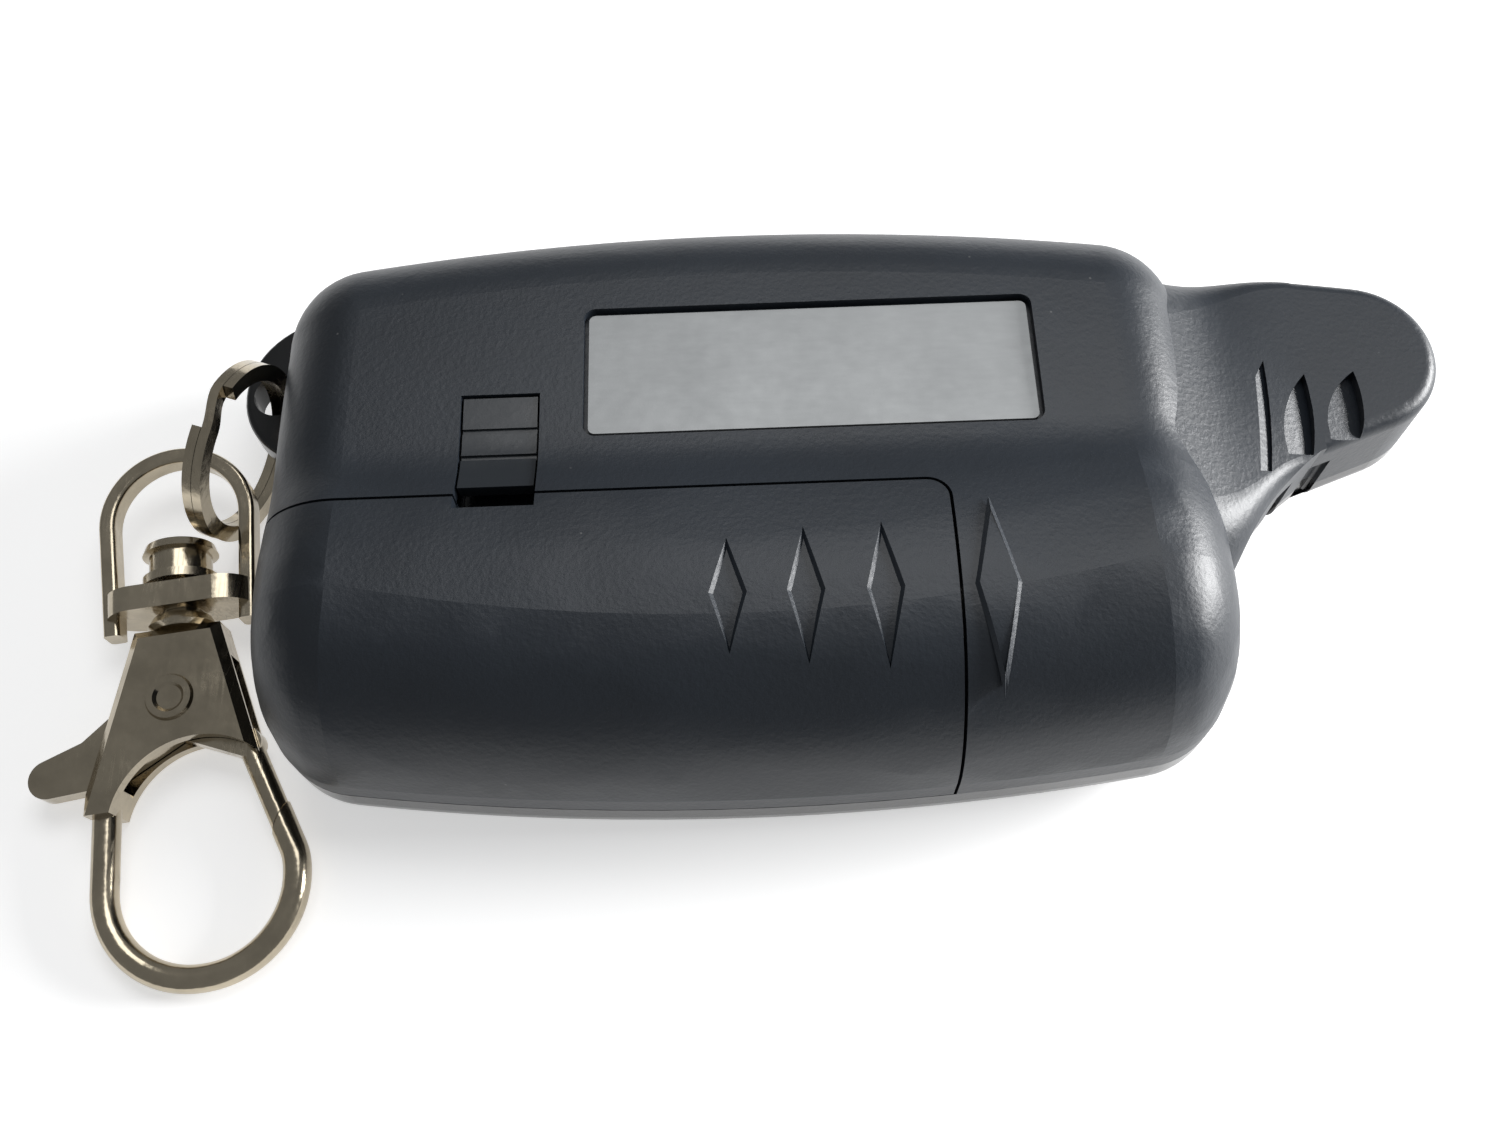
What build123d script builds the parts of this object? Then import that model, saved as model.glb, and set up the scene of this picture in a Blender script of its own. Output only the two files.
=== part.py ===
from build123d import *
from math import cos, sin, radians, sqrt
import os

os.makedirs("parts", exist_ok=True)

# Key fob remote with a screen, lying on its front face with its back up, and its key chain clasp beside it.
# Millimetres. X runs along the case towards the aerial stub, Y across it, Z up from the front face.

# Case outline
wall = 1.4
face_wall = 2.0
part_z = 6.5
wall_top = 23.2
wall_low = -23.1
bow_top = 0.0026
bow_low = 0.0024
left_end = -35.5
right_end = 35.2
end_bow_left = 1.7
end_bow_right = 1.2
corner_r = 6.8
front_r = 4.6
room_r = 1.8

# Back of the case, seen across: a crest over the battery and a flat plateau beside it
crest_y = -10.5
crest_z = 19.6
crest_r = 26.0
valley_y = 0.3
plateau_y = 11.0
plateau_z = 17.45
low_round = 11.0
top_round = 7.6
valley_round = 9.0

# Aerial stub
stub_z = 13.0
stub_low_z = 3.2
stub_edge_r = 1.1
stub_low_r = 2.2
tip_r = 6.5
tip_x = 47.75
tip_y = 9.45
low_slope = 20.6
up_slope = 7.9
brow_top = 18.05
ramp_x = 29.0
ramp_end = 44.0

# Battery, its tray and its cover
seam_x = 14.8
seam_y = -2.9
seam_gap = 0.12
seam_corner_r = 1.8
skin_gap = 0.25
cell_r = 5.25
cell_len = 44.5
cell_end_x = 14.9
cell_y = -10.5
nub_r = 2.75
nub_len = 1.0
tray_floor_z = 7.3
tray_wall = 1.0
tray_low_y = -19.7
tray_side_z = 13.2
tray_in_y = -3.6
ledge_y = -1.6
cell_z = tray_floor_z + cell_r
contact_t = 0.4
spring_room = 2.2

# Label plate
label_len = 33.0
label_wide = 10.24
label_t = 0.4
label_x = 5.5
label_y = 7.5
label_top_z = 17.0
label_gap = 0.35

# Cover latch
latch_x = -17.4
latch_wide = 5.8
latch_low_y = -2.25
latch_high_y = 5.55
latch_gap = 0.18
latch_travel = 1.3
foot_t = 0.65
foot_side = 1.2

# Screen and buttons on the front
lens_x = 16.1
lens_y = 0.5
lens_len = 29.6
lens_wide = 29.0
lens_t = 1.0
lens_rest_z = 1.2
window_margin = 1.5
glass_margin = 0.5
glass_t = 1.6
button_x = -20.8
button_y = 0.5
button_dx = 11.5
button_dy = 14.0
button_len = 8.6
button_wide = 6.6
button_gap = 0.2
button_face_z = 0.25
button_travel = 0.35

# Circuit board
board_z = 4.7
board_t = 1.0

# Key ring, bail and clasp: the clasp hangs in its own tilted plane, its length along that plane's Y
hole_x = -37.9
hole_y = 13.2
hole_r = 1.9
lug_low_z = 3.6
lug_top_z = 6.4
ring_out_r = 7.3
ring_in_r = 6.0
ring_half = 0.775
ring_z = 7.35
ring_turn = 19.0
ring_seat = 6.04
chain_x = -45.1
chain_y = 0.0
chain_z = 3.8
chain_turn = 7.0
chain_tilt = 4.46
bail_half = 6.2
bail_band = 1.3
bail_t = 2.0
bail_arch_y = 3.1
bail_foot_y = -6.2
head_r = 2.9
post_r = 1.5
run_gap = 0.05
clasp_t = 4.0
clasp_slot = 2.0
lever_t = 1.7
wire_r = 1.05
pivot_x = -0.5
pivot_y = -12.2
rivet_r = 0.9


def bow(x, inset):
    high = wall_top - bow_top * x * x - inset
    low = wall_low + bow_low * x * x + inset
    return low, high


def crest_height(y, inset):
    r = crest_r - inset
    return crest_z - crest_r + sqrt(r * r - (y - crest_y) ** 2)


# Rounds one upper corner of a cross section, counted from its low side
def round_corner(section, place, radius):
    tops = section.vertices().filter_by(lambda v: v.Y > part_z + 1).sort_by(Axis.X)
    fillet(tops[place], radius)


def case_section(x, inset):
    low, high = bow(x, inset)
    step_y = valley_y + 0.2 * inset
    with BuildSketch(Plane.YZ.offset(x)) as section:
        with BuildLine():
            side = Line((low, part_z), (low + 0.15, crest_height(low + 0.15, inset)))
            hump = ThreePointArc(side @ 1, (crest_y, crest_z - inset), (step_y, crest_height(step_y, inset)))
            flat = ThreePointArc(
                hump @ 1, (plateau_y, plateau_z - inset), (high - 0.15, plateau_z - 0.5 - inset)
            )
            far = Line(flat @ 1, (high, part_z))
            Line(far @ 1, side @ 0)
        make_face()
        round_corner(section, 2, top_round - inset)
        round_corner(section, 1, valley_round + inset)
        round_corner(section, 0, low_round - inset)
    return section.sketch


# Upper half of the case body: three bowed sections, cut to the curved ends, with rounded shoulders
def case_body(inset):
    with BuildPart() as body:
        for x in (-42, 0, 42):
            add(case_section(x, inset))
        loft()
        with BuildSketch(Plane.XY.offset(part_z)):
            with BuildLine():
                near = left_end + inset
                far = right_end - inset
                left = ThreePointArc((near + end_bow_left, -30), (near, 1), (near + end_bow_left, 32))
                right = ThreePointArc((far - end_bow_right, 32), (far, -6), (far - end_bow_right, -44))
                Line(left @ 1, right @ 0)
                Line(right @ 1, left @ 0)
            make_face()
        extrude(amount=20, mode=Mode.INTERSECT)
        ends = []
        for edge in body.edges():
            box = edge.bounding_box()
            outer = box.max.X < near + 1.6 or box.min.X > far - 1.6
            if outer and box.max.Z > part_z + 0.01:
                ends.append(edge)
        fillet(ends, corner_r - inset)
    return body.part


def tip_point(angle):
    return (tip_x + tip_r * cos(radians(angle)), tip_y + tip_r * sin(radians(angle)))


def ease(a):
    a = min(max(a, 0), 1)
    return a * a * (3 - 2 * a)


# Plan of the aerial stub, running into the case at its left
def stub_plan(z):
    low_tip = tip_point(low_slope - 90)
    high_tip = tip_point(90 - up_slope)
    with BuildSketch(Plane.XY.offset(z)) as plan:
        with BuildLine():
            throat = ThreePointArc((35.2, -9.5), (38.7, -3.6), (43.6, 1.0))
            Line(throat @ 1, low_tip)
            ThreePointArc(low_tip, tip_point(0), high_tip)
            brow = ThreePointArc(high_tip, (43, brow_top - 1.27), (34, brow_top))
            Polyline(brow @ 1, (25, brow_top), (25, -13), (33.5, -13), throat @ 0)
        make_face()
    return plan.sketch


def stub_section(x, inset):
    drop = plateau_z - 0.15 - stub_z
    low_y = -10.0 + inset + 9.8 * ease((x - 33) / 10)
    low_z = stub_z + drop * (1 - ease((x - ramp_x) / (ramp_end - ramp_x))) - inset
    high_z = stub_z + (drop - 0.4) * (1 - ease((x - ramp_x + 1) / 10)) - inset
    high_y = brow_top + 0.05 - 0.141 * (x - 34) - 0.0012 * (x - 34) * (x - 43) - inset
    edge = max(stub_edge_r - inset, 0.3)
    low_r = edge + (5.5 - stub_edge_r) * (1 - ease((x - 33) / 9))
    high_r = edge + (top_round - stub_edge_r) * (1 - ease((x - ramp_x) / (ramp_end - ramp_x)))
    with BuildSketch(Plane.YZ.offset(x)) as section:
        with BuildLine():
            Polyline((low_y, part_z), (low_y, low_z), (high_y, high_z), (high_y, part_z), close=True)
        make_face()
        round_corner(section, 1, high_r)
        round_corner(section, 0, low_r)
    return section.sketch


# Upper half of the stub: a ramp down from the plateau, then the level tip
def stub_top(inset):
    plan = stub_plan(part_z)
    with BuildPart() as tip:
        add(plan)
        extrude(amount=stub_z - part_z)
        with BuildSketch(Plane.XY.offset(part_z)):
            with Locations((ramp_end, 0)):
                Rectangle(20, 60, align=(Align.MIN, Align.CENTER))
        extrude(amount=20, mode=Mode.INTERSECT)
        rim = []
        for edge in tip.edges().group_by(Axis.Z)[-1]:
            if edge.bounding_box().max.X > ramp_end + 0.5:
                rim.append(edge)
        fillet(rim, stub_edge_r)
        if inset > 0:
            with BuildSketch(Plane.XY.offset(part_z)):
                add(offset(plan, -inset, mode=Mode.PRIVATE))
            extrude(amount=stub_z - part_z - inset, mode=Mode.INTERSECT)
    with BuildPart() as ramp:
        for i in range(6):
            add(stub_section(ramp_x + i * (ramp_end - ramp_x) / 5, inset))
        loft()
        with BuildSketch(Plane.XY.offset(part_z)):
            add(offset(plan, -inset, mode=Mode.PRIVATE) if inset > 0 else plan)
        extrude(amount=20, mode=Mode.INTERSECT)
    return ramp.part + tip.part


def block(x0, x1, y0, y1, z0, z1):
    with BuildPart(Plane.XY.offset(z0)) as piece:
        with Locations(((x0 + x1) / 2, (y0 + y1) / 2)):
            Box(x1 - x0, y1 - y0, z1 - z0, align=(Align.CENTER, Align.CENTER, Align.MIN))
    return piece.part


# Shells of the case body at a few depths below its surface, used by everything that follows the surface
skin = case_body(0)
skin_low = case_body(wall)
skin_under = case_body(wall + skin_gap)
skin_half = case_body(wall / 2)

# Room taken by the battery cover, up to its seam
def cover_room(back):
    with BuildPart() as room:
        with BuildSketch(Plane.XY.offset(part_z)):
            with Locations((seam_x - back, seam_y - back)):
                Rectangle(100, 40, align=(Align.MAX, Align.MAX))
        extrude(amount=20)
        corner = room.edges().filter_by(Axis.Z).filter_by(lambda e: e.center().X > 0 and e.center().Y > -10)
        fillet(corner, seam_corner_r - back)
    return room.part


# A long diamond with its points along Y
def diamond(x, low, high, wide):
    middle = crest_y - 1.2
    with BuildPart() as shape:
        with BuildSketch(Plane.XY.offset(part_z)):
            with BuildLine():
                Polyline((x, high), (x + wide / 2, middle), (x, low), (x - wide / 2, middle), close=True)
            make_face()
        extrude(amount=20)
    return shape.part


mark_depth = 0.3
mark_wide = 2.6
cover_marks = [(-1.1, -15.9, -7.6), (4.2, -16.7, -6.9), (9.6, -17.1, -6.7)]
case_mark = (17.2, -17.8, -6.2)
skin_mark = case_body(mark_depth)
skin_proud = case_body(-mark_depth)
skin_deep = case_body(wall + 1.3)
skin_tongue = case_body(wall + 0.15)
skin_tongue_low = case_body(wall + 0.95)
skin_tongue_room = case_body(wall + 1.2)

case_screws = [(-22.0, -17.0), (8.0, -17.0)]
screw_r = 0.75
screw_head_r = 1.55
screw_head_t = 1.1
boss_r = 2.2
hook_z = 9.6
hook_t = 0.9
hook_gap = 0.25
hook_y = -20.9
hook_x0 = -16.0
hook_x1 = 13.0
tongue_x = 16.6
tongue_y0 = -21.0
tongue_y1 = -15.4
tongue_z = tray_side_z + 0.2
tongue_back = 1.6
slot_x0 = latch_x - latch_wide / 2
slot_x1 = latch_x + latch_wide / 2
slot_low_y = latch_low_y - latch_travel - 0.65
label_floor_z = label_top_z - label_t
shelf_gap = 0.2
foot_top_z = plateau_z - wall - 0.7
foot_z = foot_top_z - foot_t

# Grip notches across the stub: each floor slopes down to a steep wall on its tip side
grips = [
    [(37.9, -1.1), (38.2, 3.4), (40.5, 8.9), (40.2, 4.6), (39.2, -1.1)],
    [(40.9, 0.6), (41.2, 3.8), (43.5, 7.7), (43.6, 4.8), (42.9, 0.6)],
    [(44.5, 1.8), (44.9, 4.9), (47.3, 7.8), (47.5, 5.4), (46.8, 1.8)],
]
grip_floors = [(14.4, 12.9), (13.3, 12.2), (12.9, 12.1)]


def grip_cut(outline, floor):
    a, b, c, d, e = outline
    far = max(p[0] for p in outline)
    with BuildPart() as cut:
        with BuildSketch(Plane.XY.offset(stub_z - 2)):
            with BuildLine():
                ThreePointArc(a, b, c)
                ThreePointArc(c, d, e)
                Line(e, a)
            make_face()
        extrude(amount=6)
        with BuildSketch(Plane.XZ.offset(-20)):
            with BuildLine():
                Polyline((a[0], floor[0]), (far, floor[1]), (far, 20), (a[0], 20), close=True)
            make_face()
        extrude(amount=30, mode=Mode.INTERSECT)
    return cut.part


# Two shallow pockets in the stub's lower side wall
pocket_places = [(41.3, -0.85, 40.0), (44.4, 1.3, 20.6)]
pocket_long = 1.9
pocket_deep = 0.6
pocket_z0 = 4.2
pocket_z1 = 10.2


def side_pockets():
    with BuildPart() as cuts:
        for x, y, turn in pocket_places:
            with BuildSketch(Plane.XY.offset(pocket_z0)):
                with Locations(Location((x, y), turn)):
                    RectangleRounded(pocket_long, 2 * pocket_deep, 0.25)
            extrude(amount=pocket_z1 - pocket_z0)
    return cuts.part


stub_pockets = side_pockets()

# Back shell: the upper half of the case with its battery tray, latch slot and label recess
stub_outer = stub_top(0)
stub_inner = stub_top(wall)
tray_x0 = cell_end_x - cell_len - spring_room - contact_t - tray_wall
tray_x1 = cell_end_x + contact_t + tray_wall
with BuildPart() as tray:
    add(block(tray_x0, tray_x1, tray_low_y, tray_in_y, part_z, 20))
    add(block(hook_x0 - 2, hook_x1, hook_y, tray_low_y + 0.1, hook_z, hook_z + hook_t))
    shelf_z = foot_z - shelf_gap
    shelf_x0 = slot_x0 - foot_side
    shelf_x1 = slot_x1 + foot_side
    add(block(shelf_x0, shelf_x1, tray_in_y - tray_wall, latch_high_y - 1, shelf_z - tray_wall, shelf_z))
    add(skin_under, mode=Mode.INTERSECT)
    above_side = block(tray_x0 - 1, tray_x1 + 1, tray_low_y - 5, tray_low_y + tray_wall, tray_side_z, 25)
    add(above_side, mode=Mode.SUBTRACT)
    tongue_room = skin - skin_tongue_room
    tongue_side = block(seam_x - tongue_back - 0.3, 30, -40, tongue_y1 + 0.25, tongue_z - 0.3, 25)
    add(tongue_room.intersect(tongue_side), mode=Mode.SUBTRACT)
    pocket_x0 = tray_x0 + tray_wall
    pocket_x1 = tray_x1 - tray_wall
    pocket = block(pocket_x0, pocket_x1, tray_low_y + tray_wall, tray_in_y - tray_wall, tray_floor_z, 25)
    add(pocket, mode=Mode.SUBTRACT)
    for x, y in case_screws:
        with Locations((x, y, tray_floor_z)):
            Hole(screw_r + 0.15, depth=2)
    for x in (pocket_x0, pocket_x1 - contact_t):
        add(block(x, x + contact_t, cell_y - 1.1, cell_y + 1.1, part_z, tray_floor_z), mode=Mode.SUBTRACT)

with BuildPart() as ledge:
    add(block(tray_x0 + 3, seam_x - 0.4, tray_in_y - tray_wall, ledge_y, part_z, 25))
    add(skin_half, mode=Mode.INTERSECT)
    add(skin_deep, mode=Mode.SUBTRACT)
    under = skin_half - skin_under
    low_side = block(-60, seam_x + seam_gap, -40, seam_y + seam_gap, part_z, 25)
    add(under.intersect(low_side), mode=Mode.SUBTRACT)
    add(
        block(slot_x0 - foot_side - 0.2, slot_x1 + foot_side + 0.2, seam_y + seam_gap, 0, part_z, 25),
        mode=Mode.SUBTRACT,
    )

with BuildPart() as end_wall:
    add(block(pocket_x1, tray_x1, tray_low_y, tray_in_y, part_z, 25))
    add(skin_half, mode=Mode.INTERSECT)
    add(tongue_room.intersect(tongue_side), mode=Mode.SUBTRACT)

with BuildPart() as back_shell:
    add(skin)
    add(stub_outer)
    add(skin_low, mode=Mode.SUBTRACT)
    add(stub_inner, mode=Mode.SUBTRACT)
    add(cover_room(0), mode=Mode.SUBTRACT)
    add(tray.part)
    add(ledge.part)
    add(end_wall.part)
    raised = diamond(*case_mark, mark_wide)
    add((raised.intersect(skin_proud)) - skin_low)
    with BuildSketch(Plane.XY.offset(label_floor_z)):
        with Locations((label_x, label_y)):
            RectangleRounded(label_len + 2 * label_gap, label_wide + 2 * label_gap, 0.9)
    extrude(amount=5, mode=Mode.SUBTRACT)
    add(block(slot_x0, slot_x1, seam_y - 1, latch_high_y + 0.2, foot_z - 0.5, 25), mode=Mode.SUBTRACT)
    for outline, floor in zip(grips, grip_floors):
        add(grip_cut(outline, floor), mode=Mode.SUBTRACT)
    add(stub_pockets, mode=Mode.SUBTRACT)
back_shell.part.label = "back_shell"
export_step(back_shell.part, "parts/back_shell.step")

# Battery cover: slides off over the tray, held by a tongue under the case and two rows of hooks
cover_x1 = seam_x - seam_gap
cover_y1 = seam_y - seam_gap
with BuildPart() as battery_cover:
    add(skin)
    add(skin_low, mode=Mode.SUBTRACT)
    add(cover_room(2 * seam_gap), mode=Mode.INTERSECT)
    add(block(-60, 60, -40, 40, part_z, part_z + seam_gap), mode=Mode.SUBTRACT)
    for mark in cover_marks:
        add(diamond(*mark, mark_wide).intersect(skin - skin_mark), mode=Mode.SUBTRACT)
    add(block(slot_x0, slot_x1, slot_low_y, seam_y, part_z, 25), mode=Mode.SUBTRACT)
    for i in range(3):
        x = hook_x0 + 1.5 + i * 10
        hook = block(x, x + 6.5, -30, tray_low_y - hook_gap, hook_z - hook_gap - hook_t, hook_z - hook_gap)
        add(hook.intersect(skin_half))
    tongue = block(seam_x - tongue_back, tongue_x, tongue_y0, tongue_y1, tongue_z, 25)
    near_seam = block(seam_x - tongue_back, cover_x1, tongue_y0, tongue_y1, tongue_z, 25)
    add((skin_tongue - skin_tongue_low).intersect(tongue))
    add((skin_half - skin_tongue_low).intersect(near_seam))
battery_cover.part.label = "battery_cover"
export_step(battery_cover.part, "parts/battery_cover.step")

# Cover latch: a flush thumb slide with two cross grooves, held by its foot under the shell
groove_ys = [2.8, 0.6]
groove_wide = 0.45
groove_deep = 0.3
with BuildPart() as latch_slider:
    add(block(slot_x0 + latch_gap, slot_x1 - latch_gap, latch_low_y, latch_high_y, foot_z + 0.2, 25))
    add(case_body(latch_gap), mode=Mode.INTERSECT)
    nose = block(slot_x0, slot_x1, latch_low_y - 1, 0, foot_z - 1, 25)
    add(nose.intersect(skin_low), mode=Mode.SUBTRACT)
    foot_x0 = slot_x0 - foot_side + latch_gap
    foot_x1 = slot_x1 + foot_side - latch_gap
    add(block(foot_x0, foot_x1, 0, latch_high_y - 0.15, foot_z, foot_top_z))
    for y in groove_ys:
        face_z = crest_height(y, 0) if y < valley_y else plateau_z - 0.3
        with BuildSketch(Plane.YZ.offset(slot_x0)):
            with Locations((y, face_z + groove_deep * 0.4)):
                Rectangle(groove_wide, 2 * groove_deep)
        extrude(amount=latch_wide, mode=Mode.SUBTRACT)
latch_slider.part.label = "latch_slider"
export_step(latch_slider.part, "parts/latch_slider.step")

# Label plate, bare
with BuildPart() as label_plate:
    with BuildSketch(Plane.XY.offset(label_floor_z)):
        with Locations((label_x, label_y)):
            RectangleRounded(label_len, label_wide, 0.5)
    extrude(amount=label_t)
label_plate.part.label = "label_plate"
export_step(label_plate.part, "parts/label_plate.step")

# Front shell: the lower half, with the window, four button holes, the key ring lug and the screw bosses
button_places = []
for dx in (-1, 1):
    for dy in (-1, 1):
        button_places.append((button_x + dx * button_dx / 2, button_y + dy * button_dy / 2))
board_screws = [(-30.4, 0.5), (-9.0, 0.5)]
post_out = 1.6
lug_arcs = [(-34.8, 20.6), (-39.3, 17.6), (-40.5, 12.4), (-37.0, 7.6)]
with BuildPart() as front_room:
    extrude(skin_low.faces().sort_by(Axis.Z)[0], amount=part_z)
    add(block(-60, 60, -40, 40, face_wall, part_z), mode=Mode.INTERSECT)
    fillet(front_room.edges().group_by(Axis.Z)[0], room_r)

with BuildPart() as front_shell:
    extrude(skin.faces().sort_by(Axis.Z)[0], amount=part_z + 1)
    add(block(-60, 60, -40, 40, 0, part_z), mode=Mode.INTERSECT)
    fillet(front_shell.edges().group_by(Axis.Z)[0], front_r)

with BuildPart() as stub_base:
    add(stub_plan(part_z))
    extrude(amount=stub_low_z - part_z)
    rim = []
    for edge in stub_base.edges().group_by(Axis.Z)[0]:
        if edge.bounding_box().max.X > right_end - 2:
            rim.append(edge)
    fillet(rim, stub_low_r)

with BuildPart() as stub_room:
    with BuildSketch(Plane.XY.offset(part_z)):
        add(offset(stub_plan(part_z), -wall, mode=Mode.PRIVATE))
    extrude(amount=stub_low_z + wall - part_z)

with BuildPart() as lug:
    with BuildSketch(Plane.XY.offset(lug_low_z)):
        with BuildLine():
            upper = ThreePointArc(*lug_arcs[0:3])
            lower = TangentArc(upper @ 1, lug_arcs[3], tangent=upper % 1)
            Polyline(lower @ 1, (-34.2, 7.6), (-34.2, 14.0), (-32.8, 18.6), upper @ 0)
        make_face()
    extrude(amount=lug_top_z - lug_low_z)
    fillet(lug.edges().filter_by(GeomType.CIRCLE).filter_by(lambda e: e.center().X < -36.5), 0.5)
    with Locations((hole_x, hole_y, lug_top_z)):
        Hole(hole_r)

window_len = lens_len - 2 * window_margin
window_wide = lens_wide - 2 * window_margin
with BuildPart() as front:
    add(front_shell.part)
    add(stub_base.part)
    add(front_room.part, mode=Mode.SUBTRACT)
    add(stub_room.part, mode=Mode.SUBTRACT)
    add(lug.part)
    with BuildSketch(Plane.XY):
        with Locations((lens_x, lens_y)):
            RectangleRounded(lens_len + 0.3, lens_wide + 0.3, 3.0)
    extrude(amount=lens_rest_z, mode=Mode.SUBTRACT)
    with BuildSketch(Plane.XY):
        with Locations((lens_x, lens_y)):
            RectangleRounded(window_len, window_wide, 1.5)
        with Locations(*button_places):
            RectangleRounded(button_len + 2 * button_gap, button_wide + 2 * button_gap, 2.4)
    extrude(amount=face_wall + 0.5, mode=Mode.SUBTRACT)
    with BuildSketch(Plane.XY.offset(face_wall - 0.2)):
        with Locations(*case_screws):
            Circle(boss_r)
    extrude(amount=part_z - face_wall + 0.2)
    with BuildSketch(Plane.XY.offset(face_wall - 0.2)):
        with Locations(*board_screws):
            Circle(post_out)
    extrude(amount=board_z - face_wall + 0.2)
    for x, y in case_screws:
        with Locations((x, y, part_z)):
            Hole(screw_r, depth=part_z - face_wall)
    for x, y in board_screws:
        with Locations((x, y, board_z)):
            Hole(screw_r, depth=board_z - face_wall)
    for x in (-21.0, 0.0, 21.0):
        edge_y = bow(abs(x) + 2.5, wall)[1] - 0.15
        add(block(x - 2.5, x + 2.5, edge_y - 1.1, edge_y, part_z - 1.5, part_z + 3.0))
        add(block(x - 2.5, x + 2.5, edge_y - 1.1, edge_y + 0.6, part_z - 1.5, part_z - 0.4))
    add(stub_pockets, mode=Mode.SUBTRACT)
front.part.label = "front_shell"
export_step(front.part, "parts/front_shell.step")

# Window and screen stack behind it
with BuildPart() as lens:
    with BuildSketch(Plane.XY.offset(lens_rest_z - lens_t)):
        with Locations((lens_x, lens_y)):
            RectangleRounded(lens_len, lens_wide, 2.85)
    extrude(amount=lens_t)
lens.part.label = "window_lens"
export_step(lens.part, "parts/window_lens.step")

glass_len = lens_len + 2 * glass_margin
glass_wide = lens_wide + 2 * glass_margin
glass_top_z = face_wall + glass_t
diffuser_t = 0.9
strip_wide = 2.0
with BuildPart() as lcd_glass:
    with BuildSketch(Plane.XY.offset(face_wall)):
        with Locations((lens_x, lens_y)):
            Rectangle(glass_len, glass_wide)
    extrude(amount=glass_t / 2)
    with BuildSketch(Plane.XY.offset(face_wall + glass_t / 2)):
        with Locations((lens_x, lens_y + 1.2)):
            Rectangle(glass_len, glass_wide - 2.4)
    extrude(amount=glass_t / 2)
lcd_glass.part.label = "lcd_glass"
export_step(lcd_glass.part, "parts/lcd_glass.step")

with BuildPart() as lcd_diffuser:
    with BuildSketch(Plane.XY.offset(glass_top_z)):
        with Locations((lens_x, lens_y + 2.6)):
            RectangleRounded(window_len, glass_wide - 6.4, 0.8)
    extrude(amount=diffuser_t)
lcd_diffuser.part.label = "lcd_diffuser"
export_step(lcd_diffuser.part, "parts/lcd_diffuser.step")

strip_y = lens_y - glass_wide / 2 + strip_wide / 2
with BuildPart() as zebra_strip:
    with BuildSketch(Plane.XY.offset(face_wall + glass_t / 2)):
        with Locations((lens_x, strip_y)):
            Rectangle(window_len, strip_wide)
    extrude(amount=board_z - face_wall - glass_t / 2)
zebra_strip.part.label = "zebra_strip"
export_step(zebra_strip.part, "parts/zebra_strip.step")

# Circuit board, with a tongue into the stub under the aerial
board_top = board_z + board_t
board_x0 = -32.6
board_x1 = 32.4
board_y0 = -14.2
board_y1 = 16.8
aerial_y = 9.45
tongue_half = 3.9
tongue_end = 47.2
with BuildPart() as main_board:
    with BuildSketch(Plane.XY.offset(board_z)):
        with Locations(((board_x0 + board_x1) / 2, (board_y0 + board_y1) / 2)):
            RectangleRounded(board_x1 - board_x0, board_y1 - board_y0, 2.4)
        with Locations(((board_x1 + tongue_end) / 2 - 2, aerial_y)):
            RectangleRounded(tongue_end - board_x1 + 4, 2 * tongue_half, 1.5)
        with Locations(*board_screws):
            Circle(screw_r + 0.15, mode=Mode.SUBTRACT)
        with Locations(*case_screws):
            Circle(boss_r + 0.4, mode=Mode.SUBTRACT)
    extrude(amount=board_t)
main_board.part.label = "main_board"
export_step(main_board.part, "parts/main_board.step")

# Chips and small parts on the back of the board: name, x, y, length, width, height
chips = [
    ("main_chip", 6.0, 6.5, 9.0, 9.0, 1.4),
    ("radio_chip", 27.0, 8.0, 5.0, 5.0, 0.9),
    ("crystal_can", 20.5, 9.5, 3.2, 8.0, 2.6),
    ("power_inductor", -8.5, 10.5, 4.6, 4.6, 2.2),
    ("memory_chip", 14.5, 3.0, 4.0, 5.0, 1.4),
]
for name, x, y, long, wide, high in chips:
    with BuildPart() as chip:
        with BuildSketch(Plane.XY.offset(board_top)):
            with Locations((x, y)):
                RectangleRounded(long, wide, 0.3)
        extrude(amount=high)
        chamfer(chip.edges().group_by(Axis.Z)[-1], 0.15)
    chip.part.label = name
    export_step(chip.part, "parts/" + name + ".step")

# Sounder
buzzer_r = 6.0
buzzer_h = 2.6
buzzer_x = -25.0
buzzer_y = 9.0
with BuildPart() as buzzer:
    with BuildSketch(Plane.XY.offset(board_top)):
        with Locations((buzzer_x, buzzer_y)):
            Circle(buzzer_r)
    extrude(amount=buzzer_h)
    fillet(buzzer.edges().group_by(Axis.Z)[-1], 0.5)
    with Locations((buzzer_x, buzzer_y, board_top + buzzer_h)):
        Hole(0.8, depth=1.2)
buzzer.part.label = "buzzer"
export_step(buzzer.part, "parts/buzzer.step")

# Vibration motor with its half round weight
motor_r = 2.0
motor_len = 8.0
motor_x = 1.5
motor_y = 13.8
motor_z = board_top + motor_r + 0.6
shaft_r = 0.4
weight_r = 2.2
weight_len = 3.2
with BuildPart() as motor:
    with BuildSketch(Plane.YZ.offset(motor_x)):
        with Locations((motor_y, motor_z)):
            Circle(motor_r)
    extrude(amount=motor_len)
    with BuildSketch(Plane.YZ.offset(motor_x + 1)):
        with Locations((motor_y, (motor_z + board_top) / 2)):
            Rectangle(2 * motor_r, motor_z - board_top)
    extrude(amount=motor_len - 2)
    with BuildSketch(Plane.YZ.offset(motor_x)):
        with Locations((motor_y, motor_z)):
            Circle(shaft_r + run_gap)
    extrude(amount=3, mode=Mode.SUBTRACT)
motor.part.label = "vibration_motor"
export_step(motor.part, "parts/vibration_motor.step")

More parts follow.
